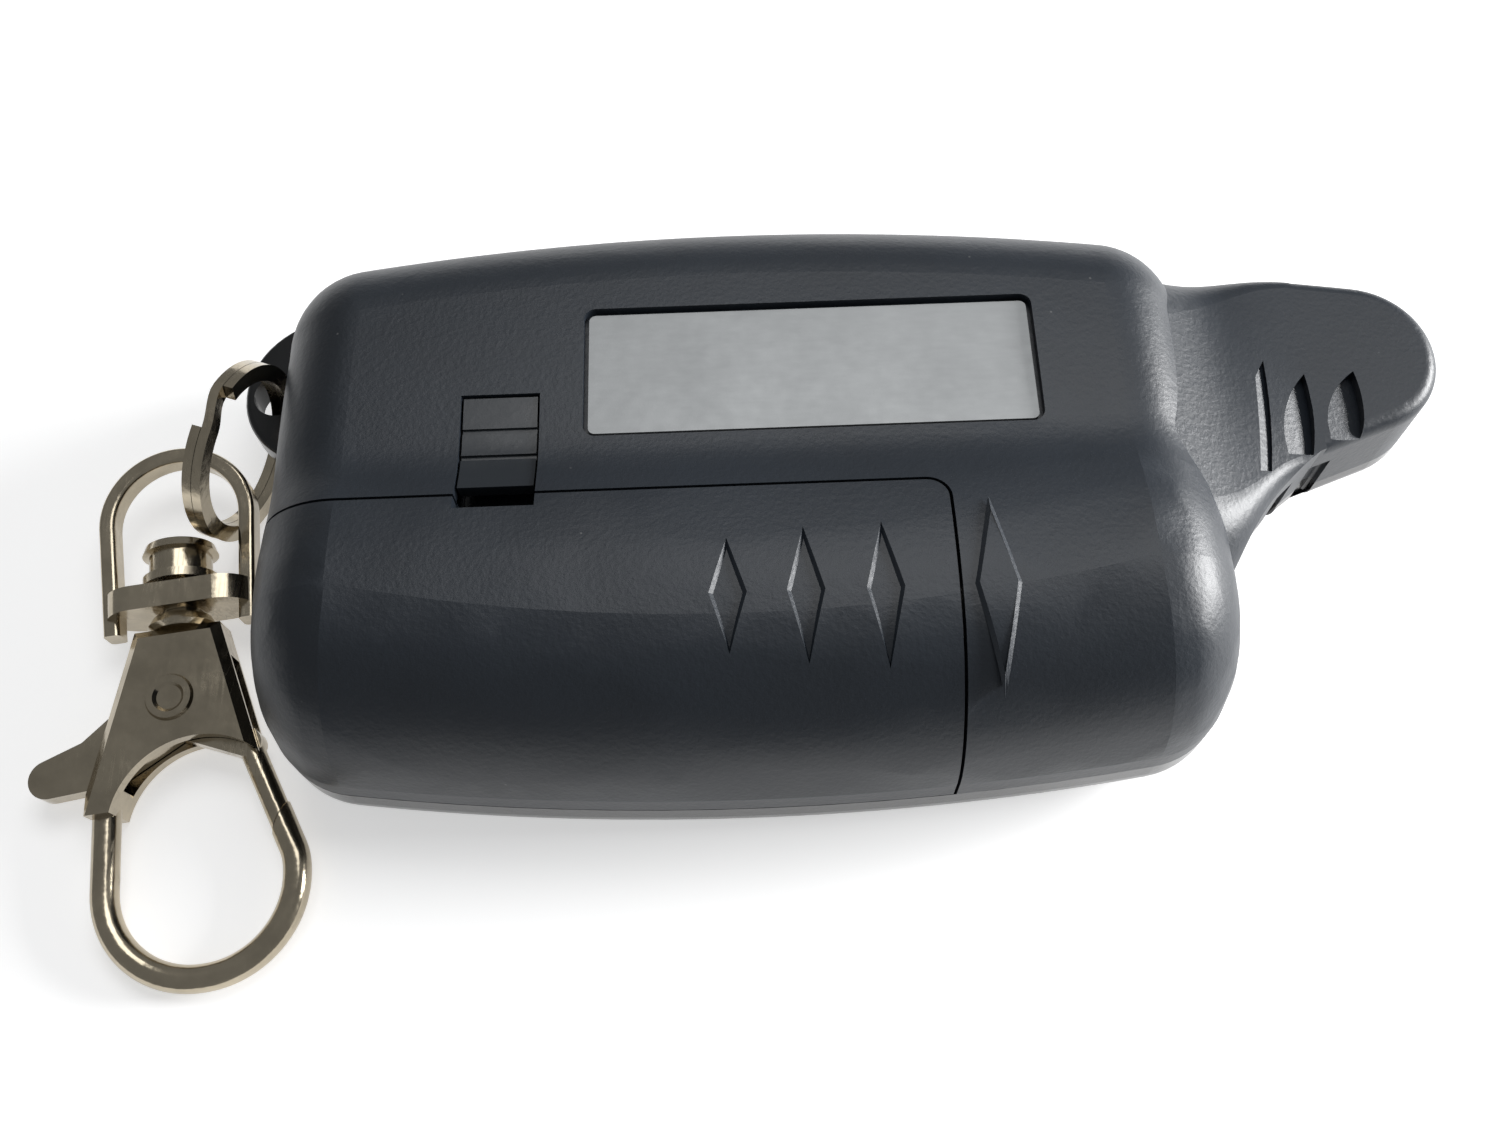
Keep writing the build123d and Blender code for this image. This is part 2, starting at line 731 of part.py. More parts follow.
with BuildPart() as weight:
    with BuildSketch(Plane.YZ.offset(motor_x - 0.3)):
        with Locations((motor_y, motor_z)):
            Circle(weight_r)
            with Locations((0, weight_r + 0.3)):
                Rectangle(2 * weight_r, 2 * weight_r, mode=Mode.SUBTRACT)
            Circle(0.9)
    extrude(amount=-weight_len)
    with BuildSketch(Plane.YZ.offset(motor_x - 1)):
        with Locations((motor_y, motor_z)):
            Circle(shaft_r)
    extrude(amount=3.5)
weight.part.label = "vibration_weight"
export_step(weight.part, "parts/vibration_weight.step")

# Aerial: one wound wire standing on the board's tongue by its two legs
coil_r = 2.2
coil_wire = 0.35
coil_pitch = 1.7
coil_turns = 6
coil_x = 35.8
coil_z = board_top + coil_r + coil_wire + 0.3
with BuildPart() as aerial_coil:
    with BuildLine() as coil_path:
        helix = Helix(
            coil_pitch,
            coil_pitch * coil_turns,
            coil_r,
            center=(coil_x, aerial_y, coil_z),
            direction=(1, 0, 0),
        )
    with BuildSketch(Plane(origin=helix @ 0, z_dir=helix % 0)):
        Circle(coil_wire)
    sweep(path=coil_path.line, is_frenet=True)
    for p in (helix @ 0, helix @ 1):
        with BuildSketch(Plane.XY.offset(board_top)):
            with Locations((p.X, p.Y)):
                Circle(coil_wire * 0.9)
        extrude(amount=p.Z - board_top)
        with Locations(p):
            Sphere(coil_wire)
aerial_coil.part.label = "aerial_coil"
export_step(aerial_coil.part, "parts/aerial_coil.step")
print("coil wire gap", coil_pitch - 2 * coil_wire)

# Buttons, their plungers and the switches they press
flange_t = 0.6
flange_gap = 0.15
flange_z = face_wall + flange_gap
plunger_z = flange_z + flange_t
switch_z = plunger_z + button_travel + 0.15
plunger_r = 1.25
switch_side = 5.2
plunger_top = switch_z + 0.65
for i, (x, y) in enumerate(button_places):
    with BuildPart() as button:
        with BuildSketch(Plane.XY.offset(button_face_z)):
            with Locations((x, y)):
                RectangleRounded(button_len, button_wide, 2.2)
        extrude(amount=plunger_z - button_face_z)
        fillet(button.edges().group_by(Axis.Z)[0], 0.5)
        with BuildSketch(Plane.XY.offset(flange_z)):
            with Locations((x, y)):
                RectangleRounded(button_len + 1.6, button_wide + 1.6, 2.6)
        extrude(amount=flange_t)
    button.part.label = "button_" + str(i + 1)
    export_step(button.part, "parts/button_" + str(i + 1) + ".step")
    with BuildPart() as plunger:
        with BuildSketch(Plane.XY.offset(plunger_z)):
            with Locations((x, y)):
                Circle(plunger_r)
        extrude(amount=plunger_top - plunger_z)
    plunger.part.label = "plunger_" + str(i + 1)
    export_step(plunger.part, "parts/plunger_" + str(i + 1) + ".step")
    with BuildPart() as switch:
        with BuildSketch(Plane.XY.offset(switch_z)):
            with Locations((x, y)):
                RectangleRounded(switch_side, switch_side, 0.4)
                Circle(plunger_r + run_gap, mode=Mode.SUBTRACT)
        extrude(amount=plunger_top + button_travel + 0.15 - switch_z)
        with BuildSketch(Plane.XY.offset(plunger_top + button_travel + 0.15)):
            with Locations((x, y)):
                RectangleRounded(switch_side, switch_side, 0.4)
        extrude(amount=board_z - plunger_top - button_travel - 0.15)
    switch.part.label = "switch_" + str(i + 1)
    export_step(switch.part, "parts/switch_" + str(i + 1) + ".step")

# Screws: two for the case, in the battery tray, and two for the board
for i, (x, y) in enumerate(case_screws + board_screws):
    in_case = i < len(case_screws)
    seat = tray_floor_z if in_case else board_top
    reach = seat - face_wall - 0.6
    name = ("case_screw_" if in_case else "board_screw_") + str(i % 2 + 1)
    with BuildPart() as screw:
        with BuildSketch(Plane.XY.offset(seat)):
            with Locations((x, y)):
                Circle(screw_head_r if in_case else screw_head_r - 0.2)
        extrude(amount=screw_head_t)
        fillet(screw.edges().group_by(Axis.Z)[-1], 0.4)
        with BuildSketch(Plane.XY.offset(seat)):
            with Locations((x, y)):
                Circle(screw_r)
        extrude(amount=-reach)
        with BuildSketch(Plane.XY.offset(seat + screw_head_t - 0.5)):
            with Locations((x, y)):
                Rectangle(1.9, 0.4)
                Rectangle(0.4, 1.9)
        extrude(amount=1, mode=Mode.SUBTRACT)
    screw.part.label = name
    export_step(screw.part, "parts/" + name + ".step")

# Battery cell with its raised end, and its two contacts
cell_x0 = cell_end_x - cell_len
with BuildPart() as cell:
    with BuildSketch(Plane.YZ.offset(cell_x0)):
        with Locations((cell_y, cell_z)):
            Circle(cell_r)
    extrude(amount=cell_len - nub_len)
    fillet(cell.edges(), 0.5)
    with BuildSketch(Plane.YZ.offset(cell_end_x - nub_len)):
        with Locations((cell_y, cell_z)):
            Circle(nub_r)
    extrude(amount=nub_len)
cell.part.label = "battery_cell"
export_step(cell.part, "parts/battery_cell.step")

contact_half = 3.3
contact_top = cell_z + 2.4


# A sprung plate against the end of the cell, with a leg down to the board
def contact_plate(x):
    far = x + contact_t
    plate = block(x, far, cell_y - contact_half, cell_y + contact_half, tray_floor_z, contact_top)
    return plate + block(x, far, cell_y - 0.9, cell_y + 0.9, board_top, tray_floor_z)


with BuildPart() as plus_contact:
    add(contact_plate(cell_end_x))
plus_contact.part.label = "plus_contact"
export_step(plus_contact.part, "parts/plus_contact.step")

spring_wire = 0.3
spring_wide = 3.0
spring_narrow = 2.4
spring_turns = 1.5
minus_x = cell_x0 - spring_room - contact_t
spring_pitch = (spring_room - 2 * spring_wire) / spring_turns
with BuildPart() as minus_contact:
    add(contact_plate(minus_x))
minus_contact.part.label = "minus_contact"
export_step(minus_contact.part, "parts/minus_contact.step")

with BuildPart() as battery_spring:
    with BuildLine() as spring_path:
        spring = Helix(
            spring_pitch,
            spring_pitch * spring_turns,
            spring_wide,
            center=(minus_x + contact_t + spring_wire, cell_y, cell_z),
            direction=(1, 0, 0),
        )
    with BuildSketch(Plane(origin=spring @ 0, z_dir=spring % 0)):
        Circle(spring_wire)
    sweep(path=spring_path.line, is_frenet=True)
battery_spring.part.label = "battery_spring"
export_step(battery_spring.part, "parts/battery_spring.step")
print("spring wire gap", spring_pitch - 2 * spring_wire)

# Split ring: two flat turns joined by one jog at the top, standing in the lug's hole
def turned(angle):
    return Vector(cos(radians(angle)), sin(radians(angle)), 0)


ring_out = turned(-90 - ring_turn)
ring_axis = turned(180 - ring_turn)
ring_centre = Vector(hole_x, hole_y, ring_z) + ring_out * ring_seat
ring_mean = (ring_out_r + ring_in_r) / 2
ring_wire = ring_half - 0.025
jog_half = 15.0


def ring_section(angle, side):
    radial = ring_out * cos(radians(angle)) + Vector(0, 0, 1) * sin(radians(angle))
    plane = Plane(origin=ring_centre, x_dir=radial, z_dir=radial.cross(ring_axis))
    with BuildSketch(plane) as section:
        with Locations((ring_mean, side * ring_half / 2 + side * 0.0125)):
            Rectangle(ring_out_r - ring_in_r, ring_wire)
    return section.sketch


with BuildPart() as split_ring:
    for side in (-1, 1):
        add(ring_section(90 + jog_half, side))
        revolve(axis=Axis(ring_centre, ring_axis), revolution_arc=360 - 2 * jog_half)
with BuildPart() as jog:
    for i in range(7):
        add(ring_section(90 - jog_half + i * jog_half / 3, 2 * ease(i / 6) - 1))
    loft(ruled=True)
ring_part = split_ring.part + jog.part
ring_part.label = "split_ring"
export_step(ring_part, "parts/split_ring.step")

# The plane in which the bail and the clasp lie: X across the chain, Y up towards the ring
turn = radians(chain_turn)
tilt = radians(chain_tilt)
lay = Plane(
    origin=(chain_x, chain_y, chain_z),
    x_dir=(cos(turn), sin(turn), 0),
    z_dir=(sin(turn) * sin(tilt), -cos(turn) * sin(tilt), cos(tilt)),
)
chain_axis = Axis(lay.origin, lay.y_dir)


def across(y):
    return Plane(origin=lay.from_local_coords((0, y, 0)), x_dir=lay.x_dir, z_dir=lay.y_dir)


def at_depth(z):
    return lay.offset(z)


# Swivel post: a rimmed head in the bail's eye, a shank through its base and a domed collar
head_top_y = 0.7
head_low_y = -2.6
base_top_y = -2.9
base_low_y = -4.9
collar_top_y = -5.3
clasp_top_y = -6.4
rim_t = 0.7
with BuildPart() as swivel_post:
    with BuildSketch(lay):
        with BuildLine():
            Polyline(
                (0, clasp_top_y),
                (2.2, clasp_top_y),
                (2.6, clasp_top_y + 0.35),
                (2.2, collar_top_y - 0.05),
                (post_r, collar_top_y),
                (post_r, head_low_y),
                (head_r, head_low_y),
                (head_r, head_low_y + rim_t),
                (head_r - 0.5, head_low_y + rim_t + 0.15),
                (head_r - 0.5, head_top_y - rim_t - 0.15),
                (head_r, head_top_y - rim_t),
                (head_r - 0.25, head_top_y),
                (0, head_top_y),
                close=True,
            )
        make_face()
    revolve(axis=chain_axis)
swivel_post.part.label = "swivel_post"
export_step(swivel_post.part, "parts/swivel_post.step")

# Bail: a strap arch on a pierced oval base
base_half = bail_half - 0.5
base_high = 5.2
with BuildPart() as bail:
    with BuildSketch(at_depth(-bail_t / 2)):
        with BuildLine():
            out_left = Line((-bail_half + 0.3, bail_foot_y), (-bail_half, bail_arch_y))
            ThreePointArc((-bail_half, bail_arch_y), (0, bail_arch_y + bail_half), (bail_half, bail_arch_y))
            Line((bail_half, bail_arch_y), (bail_half - 0.3, bail_foot_y))
            inner = bail_half - bail_band
            Line((bail_half - 0.3, bail_foot_y), (inner - 0.3, bail_foot_y))
            Line((inner - 0.3, bail_foot_y), (inner, bail_arch_y))
            ThreePointArc((inner, bail_arch_y), (0, bail_arch_y + inner), (-inner, bail_arch_y))
            Line((-inner, bail_arch_y), (-inner + 0.3, bail_foot_y))
            Line((-inner + 0.3, bail_foot_y), (-bail_half + 0.3, bail_foot_y))
        make_face()
    extrude(amount=bail_t)
    fillet(bail.edges().filter_by(lambda e: e.length > 8), 0.35)
    with BuildSketch(across(base_low_y)):
        RectangleRounded(2 * base_half, base_high, base_high / 2 - 0.05)
    extrude(amount=base_top_y - base_low_y)
    with BuildSketch(across(base_low_y - 1)):
        Circle(post_r + run_gap)
    extrude(amount=base_top_y - base_low_y + 2, mode=Mode.SUBTRACT)
bail.part.label = "bail"
export_step(bail.part, "parts/bail.step")

# Clasp body: a slotted wedge that runs on into the hook's wire
joint_x = 6.95
joint_y = -22.4
joint_gap = 0.12
gate_r = wire_r - 0.12
hook_points = [(-5.8, -14.5), (-6.55, -33.2), (7.95, -33.2), (7.95, -25.3), (4.85, -16.3)]
hook_radii = [7.0, 7.0, 4.0]
with BuildLine(lay) as hook_path:
    FilletPolyline(*hook_points, radius=hook_radii)
with BuildPart() as hook_wire:
    start = hook_path.line @ 0
    with BuildSketch(Plane(origin=start, z_dir=hook_path.line % 0)):
        Circle(wire_r)
    sweep(path=hook_path.line)


# The gate's side of its slanting joint with the hook, shifted across the joint
def joint_side(shift):
    with BuildPart() as side:
        with BuildSketch(at_depth(-5)):
            with Locations(Location((joint_x + shift * 0.866, joint_y - shift * 0.5), 60)):
                Rectangle(14, 7, align=(Align.CENTER, Align.MIN))
        extrude(amount=10)
    return side.part


with BuildPart() as clasp_body:
    with BuildSketch(at_depth(-clasp_t / 2)):
        with BuildLine():
            heel = Polyline((-5.15, -20.4), (-7.05, -20.4), (-7.1, -18.6), (-3.3, clasp_top_y))
            side = Polyline(heel @ 1, (3.3, clasp_top_y), (5.85, -17.2))
            ThreePointArc(side @ 1, (0.6, -15.5), heel @ 0)
        make_face()
    extrude(amount=clasp_t)
    faces = clasp_body.faces().filter_by(GeomType.PLANE).sort_by(Axis(lay.origin, lay.z_dir))
    for face in (faces[0], faces[-1]):
        sides = face.edges().filter_by(GeomType.LINE).filter_by(lambda e: e.length > 5)
        chamfer(sides, 0.7)
    with BuildSketch(at_depth(-clasp_slot / 2)):
        with BuildLine():
            slot = Polyline((-12, -9.2), (10, -9.2), (10, -25), (-4.5, -25))
            Polyline(slot @ 1, (-4.5, -18.65), (-12, -18.65), slot @ 0)
        make_face()
    extrude(amount=clasp_slot, mode=Mode.SUBTRACT)
    with BuildSketch(at_depth(-clasp_t / 2)):
        with Locations((pivot_x, pivot_y)):
            Circle(rivet_r)
    extrude(amount=clasp_t, mode=Mode.SUBTRACT)

with BuildPart() as hook_cut:
    add(hook_wire.part)
    with BuildSketch(at_depth(-5)):
        with Locations((-5.5, -18.9)):
            Rectangle(6, 20, align=(Align.CENTER, Align.MIN))
        with Locations((6.0, -17.3)):
            Rectangle(8, 20, align=(Align.CENTER, Align.MIN))
    extrude(amount=10, mode=Mode.SUBTRACT)
    add(joint_side(0), mode=Mode.SUBTRACT)
clasp_whole = clasp_body.part + hook_cut.part
clasp_whole.label = "clasp_body"
export_step(clasp_whole, "parts/clasp_body.step")

# Clasp lever: thumb tab, hub and gate in one piece, turning on the rivet between the plates
tab_root = (-6.6, -16.2)
tab_tip = (-10.1, -16.9)
gate_root = hook_points[4]
spring_room_r = 2.05
spring_wire_r = 0.15
with BuildPart() as clasp_lever:
    for centre, reach, r0, r1 in [
        ((pivot_x, pivot_y), gate_root, 2.6, 1.1),
        ((pivot_x, pivot_y), tab_root, 2.6, 2.0),
        (tab_root, tab_tip, 2.0, 1.5),
    ]:
        with BuildSketch(at_depth(-lever_t / 2)):
            with Locations(centre):
                Circle(r0)
            with Locations(reach):
                Circle(r1)
            make_hull()
        extrude(amount=lever_t)
    with BuildSketch(at_depth(-0.05)):
        with Locations((pivot_x, pivot_y)):
            Circle(spring_room_r)
    extrude(amount=2, mode=Mode.SUBTRACT)
    with BuildSketch(at_depth(-2)):
        with Locations((pivot_x, pivot_y)):
            Circle(rivet_r + run_gap)
    extrude(amount=4, mode=Mode.SUBTRACT)
with BuildPart() as gate:
    with BuildSketch(Plane(origin=lay.from_local_coords((*gate_root, 0)), z_dir=hook_path.line % 1)):
        Circle(gate_r)
    extrude(amount=-7.5)
    add(joint_side(-joint_gap), mode=Mode.INTERSECT)
lever_part = clasp_lever.part + gate.part
lever_part.label = "clasp_lever"
export_step(lever_part, "parts/clasp_lever.step")

# Rivet: a shaft with a dimpled head above and a flat head below
head_t = 0.3
rivet_axis = Axis(lay.from_local_coords((pivot_x, pivot_y, 0)), lay.z_dir)
upright = Plane(origin=rivet_axis.position, x_dir=lay.x_dir, z_dir=-lay.y_dir)
half = clasp_t / 2
with BuildPart() as clasp_rivet:
    with BuildSketch(upright):
        with BuildLine():
            Polyline(
                (0, -half - head_t),
                (1.6, -half - head_t),
                (1.7, -half),
                (rivet_r, -half),
                (rivet_r, half),
                (1.85, half),
                (1.7, half + head_t),
                (1.2, half + head_t),
                (0.95, half + 0.05),
                (0, half + 0.05),
                close=True,
            )
        make_face()
    revolve(axis=rivet_axis)
clasp_rivet.part.label = "clasp_rivet"
export_step(clasp_rivet.part, "parts/clasp_rivet.step")

# Return spring round the rivet, in a pocket of the lever
return_pitch = 0.42
return_turns = 1.5
return_r = 1.55
with BuildPart() as clasp_spring:
    with BuildLine() as return_path:
        coil = Helix(
            return_pitch,
            return_pitch * return_turns,
            return_r,
            center=lay.from_local_coords((pivot_x, pivot_y, clasp_slot / 2 - 0.8)),
            direction=lay.z_dir,
        )
    with BuildSketch(Plane(origin=coil @ 0, z_dir=coil % 0)):
        Circle(spring_wire_r)
    sweep(path=return_path.line, is_frenet=True)
clasp_spring.part.label = "clasp_spring"
export_step(clasp_spring.part, "parts/clasp_spring.step")
print("return spring wire gap", return_pitch - 2 * spring_wire_r)
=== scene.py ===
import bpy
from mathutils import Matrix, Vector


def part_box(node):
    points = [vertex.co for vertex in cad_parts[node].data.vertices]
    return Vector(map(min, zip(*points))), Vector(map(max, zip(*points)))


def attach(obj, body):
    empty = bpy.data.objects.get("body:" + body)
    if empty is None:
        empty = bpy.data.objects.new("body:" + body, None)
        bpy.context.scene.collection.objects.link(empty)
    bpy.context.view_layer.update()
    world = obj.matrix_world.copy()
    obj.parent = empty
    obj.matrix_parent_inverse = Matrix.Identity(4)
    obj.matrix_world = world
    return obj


bl_info = {
    "name": "Car Alarm Remote",
    "version": (1, 0, 0),
    "blender": (4, 5, 0),
    "location": "View3D > Sidebar > Remote",
    "description": "Finishes for a car alarm remote with a screen and a key chain clasp, and its studio",
    "category": "Object",
}

from math import pi, radians

import bmesh
import bpy
from bpy.props import FloatProperty, FloatVectorProperty, PointerProperty
from mathutils import Matrix, Vector
from mathutils.bvhtree import BVHTree

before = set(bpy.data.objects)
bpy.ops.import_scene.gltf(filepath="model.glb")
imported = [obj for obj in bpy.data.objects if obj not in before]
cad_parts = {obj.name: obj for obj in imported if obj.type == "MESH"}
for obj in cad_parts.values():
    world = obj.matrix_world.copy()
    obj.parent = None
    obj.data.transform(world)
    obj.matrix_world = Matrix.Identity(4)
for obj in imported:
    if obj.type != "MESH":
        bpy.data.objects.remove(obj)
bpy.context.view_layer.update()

MM = 0.001


# Node helpers


def link(tree, source, target):
    tree.links.new(source, target)


def feed(tree, socket, value):
    """Give a socket a plain value, or link another node's output to it."""
    if isinstance(value, bpy.types.NodeSocket):
        tree.links.new(value, socket)
    else:
        socket.default_value = value


def calculate(tree, operation, first, second=0.0, clamp=False):
    node = tree.nodes.new("ShaderNodeMath")
    node.operation = operation
    node.use_clamp = clamp
    feed(tree, node.inputs[0], first)
    feed(tree, node.inputs[1], second)
    return node.outputs[0]


def remap(tree, value, low, high, new_low, new_high):
    node = tree.nodes.new("ShaderNodeMapRange")
    feed(tree, node.inputs["Value"], value)
    feed(tree, node.inputs["From Min"], low)
    feed(tree, node.inputs["From Max"], high)
    feed(tree, node.inputs["To Min"], new_low)
    feed(tree, node.inputs["To Max"], new_high)
    return node.outputs["Result"]


def mix_colours(tree, amount, first, second):
    node = tree.nodes.new("ShaderNodeMix")
    node.data_type = "RGBA"
    feed(tree, node.inputs[0], amount)
    feed(tree, node.inputs[6], first)
    feed(tree, node.inputs[7], second)
    return node.outputs[2]


def place_on_object(tree, stretch=(1, 1, 1), turn=(0, 0, 0)):
    """The object's own coordinates in metres, stretched and turned for one pattern."""
    place = tree.nodes.new("ShaderNodeTexCoord")
    mapping = tree.nodes.new("ShaderNodeMapping")
    mapping.inputs["Scale"].default_value = stretch
    mapping.inputs["Rotation"].default_value = turn
    link(tree, place.outputs["Object"], mapping.inputs["Vector"])
    return mapping.outputs["Vector"]


def cloud(tree, vector, scale, detail=2.0, roughness=0.5):
    node = tree.nodes.new("ShaderNodeTexNoise")
    link(tree, vector, node.inputs["Vector"])
    feed(tree, node.inputs["Scale"], scale)
    node.inputs["Detail"].default_value = detail
    node.inputs["Roughness"].default_value = roughness
    return node.outputs["Fac"]


def cells(tree, vector, scale):
    node = tree.nodes.new("ShaderNodeTexVoronoi")
    link(tree, vector, node.inputs["Vector"])
    feed(tree, node.inputs["Scale"], scale)
    return node.outputs["Distance"]


# Shader groups shared by the finishes


def start_group(name, inputs, outputs):
    group = bpy.data.node_groups.new(name, "ShaderNodeTree")
    for label, kind, value in inputs:
        socket = group.interface.new_socket(name=label, in_out="INPUT", socket_type=kind)
        socket.default_value = value
    for label, kind in outputs:
        group.interface.new_socket(name=label, in_out="OUTPUT", socket_type=kind)
    enter = group.nodes.new("NodeGroupInput")
    leave = group.nodes.new("NodeGroupOutput")
    return group, enter.outputs, leave.inputs


NUMBER = "NodeSocketFloat"
COLOUR = "NodeSocketColor"


def make_moulded_grain():
    """Spark-eroded texture of a moulded face: small soft pits between rounded tops."""
    group, given, result = start_group(
        "moulded_grain",
        [("Scale", NUMBER, 3200.0), ("Depth", NUMBER, 1.0)],
        [("Height", NUMBER)],
    )
    vector = place_on_object(group)
    fine = cloud(group, vector, given["Scale"], 2.0, 0.6)
    wide = cloud(group, vector, calculate(group, "MULTIPLY", given["Scale"], 0.35), 1.0)
    pits = cells(group, vector, calculate(group, "MULTIPLY", given["Scale"], 0.6))
    mixed = calculate(group, "ADD", fine, calculate(group, "MULTIPLY", wide, 0.5))
    mixed = calculate(group, "ADD", mixed, calculate(group, "MULTIPLY", pits, 0.45))
    link(group, calculate(group, "MULTIPLY", mixed, given["Depth"]), result["Height"])


def make_colour_drift():
    """Slow change between two near tones, as in moulded plastic or an old plating."""
    group, given, result = start_group(
        "colour_drift",
        [
            ("Colour", COLOUR, (0.5, 0.5, 0.5, 1)),
            ("Second Colour", COLOUR, (0.4, 0.4, 0.4, 1)),
            ("Scale", NUMBER, 70.0),
            ("Contrast", NUMBER, 0.15),
        ],
        [("Colour", COLOUR)],
    )
    vector = place_on_object(group)
    tone = cloud(group, vector, given["Scale"], 4.0, 0.6)
    low = calculate(group, "SUBTRACT", 0.5, given["Contrast"])
    high = calculate(group, "ADD", 0.5, given["Contrast"])
    share = remap(group, tone, low, high, 0.0, 1.0)
    link(group, mix_colours(group, share, given["Colour"], given["Second Colour"]), result["Colour"])


def make_worn_gloss():
    """Roughness that wanders, with rubbed patches that shine more."""
    group, given, result = start_group(
        "worn_gloss",
        [("Roughness", NUMBER, 0.4), ("Spread", NUMBER, 0.08), ("Scale", NUMBER, 90.0)],
        [("Roughness", NUMBER)],
    )
    vector = place_on_object(group)
    broad = cloud(group, vector, given["Scale"], 3.0, 0.6)
    close = cloud(group, vector, calculate(group, "MULTIPLY", given["Scale"], 9.0), 2.0)
    both = calculate(group, "ADD", broad, calculate(group, "MULTIPLY", close, 0.5))
    shift = calculate(group, "MULTIPLY", calculate(group, "SUBTRACT", both, 0.75), given["Spread"])
    shift = calculate(group, "MULTIPLY", shift, 4.0)
    link(group, calculate(group, "ADD", given["Roughness"], shift, True), result["Roughness"])


def make_fine_scratches():
    """Hair scratches in three directions."""
    group, given, result = start_group(
        "fine_scratches",
        [("Scale", NUMBER, 500.0), ("Width", NUMBER, 0.03)],
        [("Mask", NUMBER)],
    )
    marks = None
    for turn in (0.35, 1.5, 2.6):
        vector = place_on_object(group, (1.0, 0.06, 0.4), (0.2, 0.1, turn))
        streak = cloud(group, vector, given["Scale"], 2.0, 0.7)
        away = calculate(group, "ABSOLUTE", calculate(group, "SUBTRACT", streak, 0.5))
        line = remap(group, away, 0.0, given["Width"], 1.0, 0.0)
        marks = line if marks is None else calculate(group, "MAXIMUM", marks, line)
    vector = place_on_object(group)
    patches = remap(group, cloud(group, vector, 160.0, 2.0), 0.45, 0.65, 0.0, 1.0)
    link(group, calculate(group, "MULTIPLY", marks, patches, True), result["Mask"])


def make_dust():
    """Scattered pale specks."""
    group, given, result = start_group(
        "dust",
        [("Scale", NUMBER, 420.0), ("Size", NUMBER, 0.06)],
        [("Mask", NUMBER)],
    )
    vector = place_on_object(group)
    spot = remap(group, cells(group, vector, given["Scale"]), 0.0, given["Size"], 1.0, 0.0)
    where = remap(group, cloud(group, vector, 130.0, 2.0), 0.52, 0.6, 0.0, 1.0)
    link(group, calculate(group, "MULTIPLY", spot, where, True), result["Mask"])


def make_groups():
    make_moulded_grain()
    make_colour_drift()
    make_worn_gloss()
    make_fine_scratches()
    make_dust()


# Material helpers

DUST_COLOUR = (0.32, 0.32, 0.31, 1)


def start_material(name, metallic=0.0, ior=1.5):
    material = bpy.data.materials.new(name)
    material.use_nodes = True
    tree = material.node_tree
    shader = tree.nodes["Principled BSDF"]
    shader.inputs["Metallic"].default_value = metallic
    shader.inputs["IOR"].default_value = ior
    return material, tree, shader


def use_group(tree, name, **values):
    node = tree.nodes.new("ShaderNodeGroup")
    node.node_tree = bpy.data.node_groups[name]
    for label, value in values.items():
        feed(tree, node.inputs[label.replace("_", " ")], value)
    return node.outputs


def four(colour):
    return (colour[0], colour[1], colour[2], 1.0)


def shade(colour, factor):
    return (colour[0] * factor, colour[1] * factor, colour[2] * factor, 1.0)


def raise_surface(tree, shader, height, distance):
    bump = tree.nodes.new("ShaderNodeBump")
    bump.inputs["Strength"].default_value = 1.0
    bump.inputs["Distance"].default_value = distance
    link(tree, height, bump.inputs["Height"])
    link(tree, bump.outputs["Normal"], shader.inputs["Normal"])


def plastic(name, colour, roughness, spread=0.05, grain=3200.0, depth=0.012, drift=0.82, specks=0.0):
    """Moulded plastic or rubber: two near tones, a wandering gloss and a grain, its depth in millimetres."""
    material, tree, shader = start_material(name)
    tone = use_group(tree, "colour_drift", Colour=four(colour), Second_Colour=shade(colour, drift))["Colour"]
    if specks:
        dust = use_group(tree, "dust", Size=specks)["Mask"]
        tone = mix_colours(tree, calculate(tree, "MULTIPLY", dust, 0.5), tone, DUST_COLOUR)
    link(tree, tone, shader.inputs["Base Color"])
    gloss = use_group(tree, "worn_gloss", Roughness=roughness, Spread=spread)["Roughness"]
    link(tree, gloss, shader.inputs["Roughness"])
    height = use_group(tree, "moulded_grain", Scale=grain)["Height"]
    raise_surface(tree, shader, height, depth * MM)
    return material


def metal(name, colour, roughness, spread=0.06, second=0.8, scratch=0.4, grain=900.0, depth=0.004):
    """Plated or bare metal: two tones, hair scratches and waves in the polish, their depth in millimetres."""
    material, tree, shader = start_material(name, metallic=1.0)
    dark = shade(colour, second)
    tone = use_group(tree, "colour_drift", Colour=four(colour), Second_Colour=dark, Scale=260.0)["Colour"]
    scratches = use_group(tree, "fine_scratches", Scale=700.0)["Mask"]
    share = calculate(tree, "MULTIPLY", scratches, scratch)
    lined = mix_colours(tree, share, tone, shade(colour, 0.6))
    link(tree, lined, shader.inputs["Base Color"])
    gloss = use_group(tree, "worn_gloss", Roughness=roughness, Spread=spread, Scale=240.0)["Roughness"]
    dulled = calculate(tree, "ADD", gloss, calculate(tree, "MULTIPLY", scratches, 0.18), True)
    link(tree, dulled, shader.inputs["Roughness"])
    waves = use_group(tree, "moulded_grain", Scale=grain)["Height"]
    raise_surface(tree, shader, waves, depth * MM)
    return material


def dress(material, *names):
    """Give a finish to the slots of solids from the frame."""
    for name in names:
        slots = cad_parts[name].material_slots
        if not slots:
            raise RuntimeError(f"{name} has no material slot")
        for slot in slots:
            slot.material = material


# Mesh helpers for the printed and laid-in pieces


